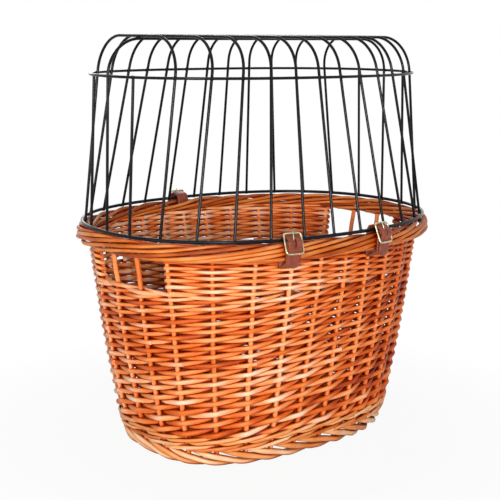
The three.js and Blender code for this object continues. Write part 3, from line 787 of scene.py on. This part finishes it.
def add_foot():
    """Foot border: from each stake a thick rod slants down to the floor, lies along it and tucks in."""
    rods = Rods()
    knots = (0, 0.6, 1.3, 1.9, 2.6, 3.4)
    levels = np.array((26, 19, 12, 6.2, 4.4, 6)) * MM
    outs = np.array((-8, -3.2, -3.6, -4.2, -10.5, -15)) * MM
    for stake in range(STAKES):
        along = np.linspace(knots[0], knots[-1], 34)
        level = curve_through(knots, levels, along)
        out = curve_through(knots, outs, along)
        size = FOOT_ROD * np.linspace(1.03, 0.8, len(along)) * rng.uniform(0.94, 1.02)
        place = stake + rng.uniform(-0.08, 0.08) + along
        path = on_wall(place, out, np.maximum(level, size))
        rods.add(path, size, rod_tint() + FOOT_TINT, sides=THICK_ROD_SIDES)
    settle_wicker(rods, "foot_border_rods", BORDER_WILLOW, "foot_border")


RIM_ROD = 2.6 * MM
RIM_TINT = -0.11


def add_rim():
    """Rim border: each stake bends down, climbs the outside across others and goes in over the top."""
    rods = Rods()
    knots = (0, 0.5, 1, 2, 3, 3.7, 4.4, 5, 6, 7, 7.5)
    drops = np.array((19.5, 19.5, 18.4, 13.2, 8, 4.4, 3, 6.2, 11, 16, 18)) * MM
    insets = np.array((13, 7, 3.1, 2.8, 3.0, 4.8, 11, 16.4, 17, 16.8, 17)) * MM
    for stake in range(STAKES):
        along = np.linspace(knots[0], knots[-1], 68)
        level = BORDER_TOP - curve_through(knots, drops, along) + wobble(along, RIM_WOBBLE)
        out = -curve_through(knots, insets, along) - rng.uniform(0, 1.2) * MM
        size = RIM_ROD * np.linspace(1.08, 0.85, len(along)) * rng.uniform(0.9, 1.08)
        place = stake + rng.uniform(-0.14, 0.14) + along
        path = on_oval(RIM, place, out, level)
        rods.add(path, size, rod_tint() + RIM_TINT, sides=THICK_ROD_SIDES)
    settle_wicker(rods, "rim_border_rods", BORDER_WILLOW, "rim_border")


BASE_PITCH = 8 * MM
BASE_ROD = 4.2 * MM
BASE_SWING = 1.1 * MM
BASE_TINT = -0.1
BASE_STICK = 2 * MM
STICK_TINTS = (0.5, 0.7)
SLATH_HALF_WIDTH = 24 * MM
SLATH_WAVE = 12 * MM


def add_base():
    """Base: rods woven round an oval over and under its sticks, with long sticks in the middle."""
    rods = Rods()
    low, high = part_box("base_mat")
    middle = (low.z + high.z) / 2
    edge = Oval(high.x, high.y, FOOT.squareness)
    rows = int((edge.b - SLATH_HALF_WIDTH) / BASE_PITCH)
    for row in range(rows):
        stake = np.linspace(row, row + STAKES, STAKES * 6 + 1)
        swing = np.cos(math.pi * (stake + row)) * BASE_SWING
        path = on_oval(edge, stake, -(row + 0.5) * BASE_PITCH, middle + swing)
        rods.add(path, BASE_ROD * rng.uniform(0.9, 1.1), rod_tint() + BASE_TINT)
    for stake in range(STAKES):
        out = np.linspace(-1 * MM, -rows * BASE_PITCH, 12)
        path = on_oval(edge, np.full(len(out), float(stake)), out, middle)
        rods.add(path, BASE_STICK, rng.uniform(*STICK_TINTS))
    inside = grown(edge, -rows * BASE_PITCH)
    count = math.ceil(2 * inside.b / BASE_PITCH)
    for i in range(count):
        y = ((2 * i + 1) / count - 1) * inside.b
        reach = reach_across(inside.a, y, inside.b, inside.squareness)
        x = np.linspace(-reach, reach, 40)
        weave = np.cos(x / SLATH_WAVE + math.pi * i) * BASE_SWING
        path = np.stack((x, np.full(len(x), y), middle + weave), axis=-1)
        rods.add(path, BASE_ROD, rod_tint() + BASE_TINT)
    settle_wicker(rods, "base_weave", WILLOW, "base_mat")


# Wire lid

RING_LEVEL = (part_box("lower_ring")[0].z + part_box("lower_ring")[1].z) / 2
UPPER_LEVEL = (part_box("upper_ring")[0].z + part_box("upper_ring")[1].z) / 2
CAGE_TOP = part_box("cross_arch_06")[1].z - CAGE_WIRE / 2
RING = grown(RIM, -RING_INSET)
UPPER_RING = Oval(RING.a - UPPER_END_INSET, RING.b - UPPER_SIDE_INSET, RIM.squareness)
LEAN = math.hypot(1, (RING.b - UPPER_RING.b) / (UPPER_LEVEL - RING_LEVEL))
LOWER_SEAT = grown(RING, -(RING_WIRE / 2 + WIRE_GAP + CAGE_WIRE / 2) * LEAN)
UPPER_SEAT = grown(UPPER_RING, -(UPPER_RING_WIRE / 2 + WIRE_GAP + CAGE_WIRE / 2) * LEAN)
WIRE_FOOT = RING_LEVEL - RING_WIRE / 2 + CAGE_WIRE / 4
WELD_REACH = 4 * MM
WELD_SIZES = np.array((0.4, 1.5, 2.1, 2.3, 2.1, 1.5, 0.4)) * MM
ring_angle = even_angles(RING)


def ring_point(oval, wire, level):
    x, y = oval_xy(*oval, ring_angle(wire / WIRE_COUNT))
    return np.array((float(x), float(y), level))


def on_line(low, high, level):
    return low + (high - low) * (level - low[2]) / (high[2] - low[2])


def bend_at(before, corner, after, radius, step):
    """A round bend at a corner, in steps of so many radians at most."""
    back = unit(before - corner)
    on = unit(after - corner)
    inside = math.acos(float(np.clip(back @ on, -1, 1)))
    start = corner + back * radius / math.tan(inside / 2)
    centre = corner + unit(back + on) * radius / math.sin(inside / 2)
    first = (start - centre) / radius
    sweep = math.pi - inside
    turn = np.linspace(0, sweep, max(2, math.ceil(sweep / step) + 1))[:, None]
    return centre + radius * (first * np.cos(turn) - back * np.sin(turn))


def bent_route(corners, radius):
    """A route with a round bend at each inner corner, and its straight runs cut into a few steps."""
    bends = [corners[0][None]]
    for before, corner, after in zip(corners, corners[1:], corners[2:]):
        bends.append(bend_at(before, corner, after, radius, BEND_STEP))
    bends.append(corners[-1][None])
    route = [bends[0]]
    for last, bend in zip(bends, bends[1:]):
        run = np.linspace(last[-1], bend[0], STRAIGHT_STEPS + 1)[1:-1]
        route.extend((run, bend))
    return np.concatenate(route)


def add_wire(name, node, path, diameter, guide, closed=False):
    rods = Rods()
    rods.add(path, diameter / 2, guide=guide, sides=WIRE_SIDES, closed=closed)
    settle(rods.build(name, WIRE), "cage_lid", "black_wire", node)


def weld(rods, first, second, along):
    """A small blob of weld between two wires, drawn out along one of them."""
    middle = (first + second) / 2
    path = middle + np.linspace(-WELD_REACH, WELD_REACH, len(WELD_SIZES))[:, None] * along
    rods.add(path, WELD_SIZES, sides=WIRE_SIDES)


def ring_tangent(oval, point):
    """The direction of an oval at a point near it."""
    n = oval.squareness
    slope_x = abs(point[0] / oval.a) ** (n - 1) * math.copysign(1, point[0]) / oval.a
    slope_y = abs(point[1] / oval.b) ** (n - 1) * math.copysign(1, point[1]) / oval.b
    return unit(np.array((-slope_y, slope_x, 0.0)))


def add_welds_for(rods, low, high):
    """Welds where a wire meets the two rings."""
    for point, oval in ((low, RING), (high, UPPER_RING)):
        along = ring_tangent(oval, point)
        outward = np.array((along[1], -along[0], 0.0))
        weld(rods, point, point + outward * (CAGE_WIRE + RING_WIRE) / 2, along)


def add_cage():
    turn = np.linspace(0, 1, RING_STEPS, endpoint=False)
    for name, oval, level, wire in (
        ("lower_ring", RING, RING_LEVEL, RING_WIRE),
        ("upper_ring", UPPER_RING, UPPER_LEVEL, UPPER_RING_WIRE),
    ):
        x, y = oval_xy(*oval, even_angles(oval)(turn))
        path = np.stack((x, y, np.full(len(x), level)), axis=-1)
        add_wire(f"{name}_wire", name, path, wire, UP, closed=True)
    welds = Rods()
    add_arches(welds)
    add_ridge(welds)
    add_uprights(welds)
    settle(welds.build("cage_welds", WIRE), "cage_lid", "black_wire")


def add_arches(welds):
    pitch = 2 * (UPPER_RING.a - ARCH_END_INSET) / (ARCH_COUNT - 1)
    mirror = np.array((1, -1, 1))
    for i in range(ARCH_COUNT):
        low = ring_point(LOWER_SEAT, WIRE_COUNT / 2 - 2 - i, RING_LEVEL)
        x = (i - (ARCH_COUNT - 1) / 2) * pitch
        y = reach_across(UPPER_SEAT.b, x, UPPER_SEAT.a, UPPER_SEAT.squareness)
        high = np.array((x, y, UPPER_LEVEL))
        foot = on_line(low, high, WIRE_FOOT)
        top = on_line(low, high, CAGE_TOP)
        route = bent_route([foot * mirror, top * mirror, top, foot], CAGE_BEND)
        plane = np.cross(ACROSS, unit((top - foot) * np.array((1, 0, 1))))
        add_wire(f"cross_arch_{i + 1:02d}_wire", f"cross_arch_{i + 1:02d}", route, COATED_WIRE, plane)
        for side in (1, -1):
            flip = np.array((1, side, 1))
            add_welds_for(welds, low * flip, high * flip)
        crown = np.array((top[0], 0, CAGE_TOP - CAGE_WIRE / 2))
        weld(welds, crown, crown, ACROSS)


def add_ridge(welds):
    low = np.array((LOWER_SEAT.a, 0, RING_LEVEL))
    high = np.array((UPPER_SEAT.a, 0, UPPER_LEVEL))
    foot = on_line(low, high, WIRE_FOOT)
    top = on_line(low, high, CAGE_TOP - CAGE_WIRE - WIRE_GAP)
    mirror = np.array((-1, 1, 1))
    route = bent_route([foot * mirror, top * mirror, top, foot], CAGE_BEND)
    add_wire("ridge_wire_bent", "ridge_wire", route, COATED_WIRE, ACROSS)
    for flip in (np.ones(3), mirror):
        add_welds_for(welds, low * flip, high * flip)


def add_uprights(welds):
    half = WIRE_COUNT // 2
    tip = UPPER_LEVEL + UPPER_RING_WIRE / 2
    uprights = (
        ("right_rear_upright", 1),
        ("right_front_upright", WIRE_COUNT - 1),
        ("left_rear_upright", half - 1),
        ("left_front_upright", half + 1),
    )
    for name, wire in uprights:
        low = ring_point(LOWER_SEAT, wire, RING_LEVEL)
        reach = reach_across(UPPER_SEAT.a, low[1], UPPER_SEAT.b, UPPER_SEAT.squareness)
        high = np.array((math.copysign(reach, low[0]), low[1], UPPER_LEVEL))
        ends = [on_line(low, high, level) for level in (WIRE_FOOT, tip)]
        add_wire(f"{name}_wire", name, np.linspace(*ends, 12), COATED_WIRE, ALONG)
        add_welds_for(welds, low, high)


# Straps and buckles, each in a frame of its own: x along the rim, y outward, z up from the ring

HALF_STRAP = STRAP_THICKNESS / 2
HALF_BAR = BUCKLE_WIRE / 2
SEAT_GAP = 0.3 * MM
BORDER_GAP = 0.4 * MM
RING_GAP = 1.35 * MM
STRAP_BEND = 3 * MM
BUCKLE_BEND = 2.5 * MM
SLOT_BEND = 1.8 * MM
SLOT_DROP = 8 * MM
THREAD_INSET = 16 * MM
SLOT_ROOM = 1 * MM
BAR_REACH = HALF_STRAP + SEAT_GAP + HALF_BAR
CHAPE_OUT = RING_INSET + BORDER_GAP + HALF_STRAP
BILLET_OUT = CHAPE_OUT + STRAP_THICKNESS + SEAT_GAP
CENTRE_BAR = np.array((CHAPE_OUT + BAR_REACH, -BUCKLE_DROP))
WRAP_TOP = CENTRE_BAR[1] + BAR_REACH
OVER_RING_UP = RING_WIRE / 2 + RING_GAP + HALF_STRAP
BORDER_BOTTOM_UP = BORDER_BOTTOM - RING_LEVEL
BORDER_TOP_UP = BORDER_TOP - RING_LEVEL
SLOT_UP = BORDER_BOTTOM_UP - SLOT_DROP
WALL_OUT = RING_INSET - BORDER_OVERHANG
THREAD_OUT = RING_INSET - THREAD_INSET
TONGUE_ARC = HALF_BAR + SEAT_GAP + TONGUE_WIRE / 2
CREW_HALF_WIDTH = TONGUE_WIRE / 2 + SLOT_ROOM


def on_buckle(rise, proud):
    """A place in the leaning buckle: so far up from its centre bar, and so far out of its face."""
    c = math.cos(BUCKLE_LEAN)
    s = math.sin(BUCKLE_LEAN)
    return CENTRE_BAR + np.array((proud * c - rise * s, proud * s + rise * c))


def turned(to_world, direction):
    """A direction in a strap's frame, as it is in the world."""
    return to_world(direction) - to_world(np.zeros(3))


def strap_frame(place):
    """The way from a strap's frame into the world, by the hinge of its buckle's tongue."""
    hinge = next(j for j in frame["joints"] if j["name"] == f"{place}_tongue_hinge")
    x = -unit(hinge["axis"])
    y = np.cross(UP, x)
    bar = y * CENTRE_BAR[0] + UP * CENTRE_BAR[1]
    origin = np.array(hinge["pos_m"]) - bar
    return lambda points: origin + np.asarray(points, float) @ np.stack((x, y, UP))


def strap_route():
    """The strap's middle line, from its buckle to its tip.

    It goes round the centre bar, down the border and in below it, up through the border, over the ring,
    under the top bar, over the centre bar, under the bottom bar and down. Each corner has its bend.
    """
    front = CENTRE_BAR[0] + BAR_REACH
    half = BUCKLE_HEIGHT / 2
    corners = [
        (front, CENTRE_BAR[1] - HALF_STRAP, 0),
        (front, WRAP_TOP, BAR_REACH),
        (CHAPE_OUT, WRAP_TOP, BAR_REACH),
        (CHAPE_OUT, BORDER_BOTTOM_UP, STRAP_BEND),
        (WALL_OUT + STRAP_THICKNESS, SLOT_UP, STRAP_BEND),
        (THREAD_OUT, SLOT_UP, SLOT_BEND),
        (THREAD_OUT, BORDER_TOP_UP + HALF_STRAP, STRAP_BEND),
        (-RING_WIRE, OVER_RING_UP, STRAP_BEND),
        (*on_buckle(half - HALF_STRAP, -BAR_REACH - SEAT_GAP), BUCKLE_BEND),
        (*on_buckle(0, 2 * BAR_REACH + HALF_BAR), BUCKLE_BEND),
        (*on_buckle(-half, -BAR_REACH - 2 * SEAT_GAP), STRAP_BEND),
        (BILLET_OUT, -STRAP_TAIL, 0),
    ]
    points = [np.array((out, up, 0.0)) for out, up, _ in corners]
    route = [points[0][None]]
    for i in range(1, len(points) - 1):
        arc = bend_at(points[i - 1], points[i], points[i + 1], corners[i][2], math.radians(12))
        run = np.linspace(route[-1][-1], arc[0], 4)[1:-1]
        route.extend((run, arc))
    route.append(np.linspace(route[-1][-1], points[-1], 24)[1:])
    return np.concatenate(route)[:, :2]


def strap_section():
    """Half of the strap's cross-section, from its edge to halfway over its face, with a groove."""
    half = STRAP_WIDTH / 2
    face = HALF_STRAP
    return [
        (half, 0),
        (half - 0.2 * MM, 0.65 * face),
        (half - 0.7 * MM, face),
        (half - 1.6 * MM, face),
        (half - 2.0 * MM, face - 0.4 * MM),
        (half - 2.4 * MM, face),
        (half / 2, face + 0.05 * MM),
    ]


def strap_mesh(place, to_world):
    route = strap_route()
    tangent = unit(np.gradient(route, axis=0))
    normal = np.stack((-tangent[:, 1], tangent[:, 0]), axis=-1)
    half = strap_section()
    face = half + [(-w, h) for w, h in reversed(half)]
    back = [(-w, -h) for w, h in half[1:3]] + [(w, -h) for w, h in reversed(half[1:3])]
    section = face + back
    steps = np.linalg.norm(np.diff(route, axis=0), axis=1)
    to_tip = np.concatenate((np.cumsum(steps[::-1])[::-1], [0]))
    nose = np.clip(1 - to_tip / (STRAP_WIDTH / 2), 0, 1)
    width = np.maximum(np.sqrt(1 - nose ** 2), 0.06)
    rings = []
    for (out, up), (n_out, n_up), w in zip(route, normal, width):
        rings.append([(x * w, out + h * n_out, up + h * n_up) for x, h in section])
    points = to_world(np.array(rings).reshape(-1, 3))
    size = len(section)
    faces = []
    for i in range(len(route) - 1):
        for j in range(size):
            k = (j + 1) % size
            a = i * size
            faces.append((a + j, a + k, a + size + k, a + size + j))
    faces.append(tuple(range(size))[::-1])
    last = (len(route) - 1) * size
    faces.append(tuple(range(last, last + size)))
    mesh = bpy.data.meshes.new(f"{place}_strap_leather")
    mesh.from_pydata(points.tolist(), [], faces)
    return mesh


def tongue_line():
    """The tongue's middle line, from its eye round the centre bar to its tip past the top bar."""
    places = (
        on_buckle(TONGUE_ARC * 0.6, TONGUE_ARC * 0.8),
        on_buckle(BUCKLE_HEIGHT / 4, TONGUE_ARC),
        on_buckle(BUCKLE_HEIGHT / 2 + BUCKLE_WIRE, TONGUE_ARC),
    )
    return bent_route([np.array((0, *p)) for p in places], TONGUE_BEND)


def swing_room(to_world):
    """A thin fan round the centre bar that holds the foot of the tongue all through its swing."""
    half = TONGUE_WIRE / 2 + SEAT_GAP
    reach = 3 * BAR_REACH
    rim = [
        on_buckle(reach * math.cos(turn), reach * math.sin(turn))
        for turn in np.linspace(0, SWING_ROOM, 16)
    ]
    outline = [CENTRE_BAR, *rim]
    points = [(x, *place) for x in (-half, half) for place in outline]
    size = len(outline)
    faces = [tuple(range(size)), tuple(range(size, 2 * size))]
    for i in range(size):
        j = (i + 1) % size
        faces.append((i, j, size + j, size + i))
    mesh = bpy.data.meshes.new("swing_room")
    mesh.from_pydata(to_world(points).tolist(), [], faces)
    return shaded("swing_room", mesh, LEATHER)


def face_outward(mesh):
    work = bmesh.new()
    work.from_mesh(mesh)
    bmesh.ops.recalc_face_normals(work, faces=work.faces)
    work.to_mesh(mesh)
    work.free()


def cut_away(mesh, tool):
    """The mesh without what lies inside the tool."""
    face_outward(mesh)
    face_outward(tool.data)
    shape = bpy.data.objects.new("shape", mesh)
    bpy.context.scene.collection.objects.link(shape)
    cut = shape.modifiers.new("cut", "BOOLEAN")
    cut.object = tool
    cut.solver = "MANIFOLD"
    graph = bpy.context.evaluated_depsgraph_get()
    result = bpy.data.meshes.new_from_object(shape.evaluated_get(graph))
    bpy.data.objects.remove(shape)
    bpy.data.objects.remove(tool)
    return result


def add_strap(place, to_world):
    """The strap, with a crew hole for the tongue's eye, a hole for its pin and room for its swing."""
    along = turned(to_world, ALONG)
    slot = np.array((0, *CENTRE_BAR)) + np.outer((-1, 0, 1), ALONG) * CREW_HALF_WIDTH
    crew = Rods()
    crew.add(to_world(slot), BAR_REACH + HALF_STRAP + SEAT_GAP, sides=24)
    hole = Rods()
    hole.add(to_world(tongue_line()), CREW_HALF_WIDTH, guide=along, sides=16)
    mesh = strap_mesh(place, to_world)
    for tool in (crew.build("crew", LEATHER), hole.build("hole", LEATHER), swing_room(to_world)):
        mesh = cut_away(mesh, tool)
    mesh.materials.clear()
    piece = shaded(f"{place}_strap_leather", mesh, LEATHER, sharp=40)
    settle(piece, "basket", "brown_leather", f"{place}_strap")


def add_buckle(place, to_world):
    half = BUCKLE_WIDTH / 2
    top = on_buckle(BUCKLE_HEIGHT / 2, 0)
    bottom = on_buckle(-BUCKLE_HEIGHT / 2, 0)
    corners = [np.array(p) for p in ((-half, *bottom), (half, *bottom), (half, *top), (-half, *top))]
    loop = np.concatenate([
        bend_at(corners[i - 1], corners[i], corners[(i + 1) % 4], BUCKLE_CORNER, math.radians(9))
        for i in range(4)
    ])
    face = np.cross(ALONG, unit(corners[2] - corners[1]))
    bar = np.linspace((-half, *CENTRE_BAR), (half, *CENTRE_BAR), 6)
    rods = Rods()
    guide = turned(to_world, face)
    rods.add(to_world(loop), HALF_BAR, guide=guide, sides=WIRE_SIDES, closed=True)
    rods.add(to_world(bar), HALF_BAR * 0.95, sides=WIRE_SIDES)
    settle(rods.build(f"{place}_buckle_frame", BRASS), "basket", "pale_brass", f"{place}_buckle")


def add_tongue(place, to_world):
    turn = np.linspace(0, 2 * math.pi, 32, endpoint=False)
    centre = np.array((0, *CENTRE_BAR))
    eye = centre + TONGUE_ARC * np.stack((0 * turn, np.cos(turn), np.sin(turn)), axis=-1)
    rods = Rods()
    along = turned(to_world, ALONG)
    rods.add(to_world(eye), TONGUE_WIRE / 2, guide=along, sides=WIRE_SIDES, closed=True)
    pin = tongue_line()
    size = TONGUE_WIRE / 2 * np.interp(np.linspace(0, 1, len(pin)), (0, 0.7, 1), (1, 0.9, 0.55))
    rods.add(to_world(pin), size, guide=along, sides=WIRE_SIDES)
    piece = rods.build(f"{place}_tongue_pin", BRASS)
    settle(piece, f"{place}_buckle_tongue", "pale_brass", f"{place}_tongue")


def add_straps():
    for place in ("rear", "front_left", "front_right"):
        to_world = strap_frame(place)
        add_strap(place, to_world)
        add_buckle(place, to_world)
        add_tongue(place, to_world)


# Stage, lights and camera

def seen_ray(nodes, links):
    """1 for rays that show the background: the camera's, reflections' and those through glass."""
    path = nodes.new("ShaderNodeLightPath")
    camera = path.outputs["Is Camera Ray"]
    glossy = path.outputs["Is Glossy Ray"]
    seen = math_node(nodes, links, "MAXIMUM", camera, glossy)
    return math_node(nodes, links, "MAXIMUM", seen, path.outputs["Is Transmission Ray"])


FLOOR_SIZE = 12
FLOOR_GREY = (0.6, 0.6, 0.6, 1)
FADE_FROM = 0.25
FADE_TO = 0.5
FADE_START = 0.93


def add_floor():
    """A pale floor that takes a faint shadow round the foot, and is white further out."""
    bpy.ops.mesh.primitive_plane_add(size=FLOOR_SIZE)
    floor = bpy.context.object
    floor.name = "floor"
    material = bpy.data.materials.new("pale_floor")
    material.use_nodes = True
    nodes = material.node_tree.nodes
    links = material.node_tree.links
    nodes.remove(nodes["Principled BSDF"])
    diffuse = nodes.new("ShaderNodeBsdfDiffuse")
    diffuse.inputs["Color"].default_value = FLOOR_GREY
    glow = nodes.new("ShaderNodeEmission")
    mix = nodes.new("ShaderNodeMixShader")
    seen = seen_ray(nodes, links)
    distance = nodes.new("ShaderNodeVectorMath")
    distance.operation = "LENGTH"
    links.new(object_place(nodes), distance.inputs[0])
    fade = nodes.new("ShaderNodeMapRange")
    fade.inputs["From Min"].default_value = FADE_FROM
    fade.inputs["From Max"].default_value = FADE_TO
    fade.inputs["To Min"].default_value = FADE_START
    links.new(distance.outputs["Value"], fade.inputs["Value"])
    links.new(math_node(nodes, links, "MULTIPLY", seen, fade.outputs["Result"]), mix.inputs["Fac"])
    links.new(diffuse.outputs["BSDF"], mix.inputs[1])
    links.new(glow.outputs["Emission"], mix.inputs[2])
    links.new(mix.outputs["Shader"], nodes["Material Output"].inputs["Surface"])
    floor.data.materials.append(material)


WORLD_STRENGTH = 0.12


def add_world():
    world = bpy.data.worlds.new("studio")
    bpy.context.scene.world = world
    world.use_nodes = True
    nodes = world.node_tree.nodes
    links = world.node_tree.links
    background = nodes["Background"]
    background.inputs["Color"].default_value = (1, 1, 1, 1)
    seen = seen_ray(nodes, links)
    strength = times_plus(nodes, links, seen, 1 - WORLD_STRENGTH, WORLD_STRENGTH)
    links.new(strength, background.inputs["Strength"])


LAMP_AIM = (0, 0, 0.25)

# Name, place and size in metres, and power in watts
LAMPS = (
    ("key", (-1.3, -2.1, 0.68), (0.6, 0.4), 46),
    ("fill", (-1.9, -1.1, 0.6), (2.8, 0.4), 25),
    ("top", (0.2, 0.3, 1.9), (1.2, 1.2), 2),
    ("back", (0.9, 2.0, 1.1), (1.6, 0.8), 14),
)


def add_lamp(name, place, size, power):
    light = bpy.data.lights.new(name, "AREA")
    light.shape = "RECTANGLE"
    light.size, light.size_y = size
    light.energy = power
    lamp = bpy.data.objects.new(name, light)
    lamp.location = place
    lamp.rotation_euler = (Vector(LAMP_AIM) - Vector(place)).to_track_quat("-Z", "Y").to_euler()
    bpy.context.scene.collection.objects.link(lamp)


CAMERA_AZIMUTH = math.radians(-39)
CAMERA_ELEVATION = math.radians(9.09)
CAMERA_DISTANCE = 1.51967
CAMERA_CENTRE = Vector((0, 0, 0.3))
CAMERA_AIM_LEVEL = 0.24551
CAMERA_AIM_RIGHT = -0.00918
CAMERA_ROLL = math.radians(0.64)
CAMERA_LENS = 81.81
CAMERA_SENSOR = 36


def add_camera():
    camera = bpy.data.cameras.new("camera")
    camera.lens = CAMERA_LENS
    camera.sensor_width = CAMERA_SENSOR
    eye = bpy.data.objects.new("camera", camera)
    level = math.cos(CAMERA_ELEVATION)
    back = Vector((
        math.sin(CAMERA_AZIMUTH) * level,
        -math.cos(CAMERA_AZIMUTH) * level,
        math.sin(CAMERA_ELEVATION),
    ))
    right = Vector((math.cos(CAMERA_AZIMUTH), math.sin(CAMERA_AZIMUTH), 0))
    place = CAMERA_CENTRE + back * CAMERA_DISTANCE
    aim = Vector((0, 0, CAMERA_AIM_LEVEL)) + right * CAMERA_AIM_RIGHT
    turn = (aim - place).to_track_quat("-Z", "Y").to_matrix().to_4x4()
    eye.matrix_world = Matrix.Translation(place) @ turn @ Matrix.Rotation(CAMERA_ROLL, 4, "Z")
    bpy.context.scene.collection.objects.link(eye)
    bpy.context.scene.camera = eye


add_siding()
add_panel("rear_panel_weave", "rear_side_panel", RIGHT_HANDLE[1], LEFT_HANDLE[0])
add_panel("front_panel_weave", "front_side_panel", LEFT_HANDLE[1], STAKES + RIGHT_HANDLE[0])
add_wall_stakes()
add_wale()
add_foot()
add_rim()
add_base()
add_cage()
add_straps()
add_floor()
add_world()
for lamp_values in LAMPS:
    add_lamp(*lamp_values)
add_camera()
bpy.context.scene.view_settings.view_transform = "Standard"
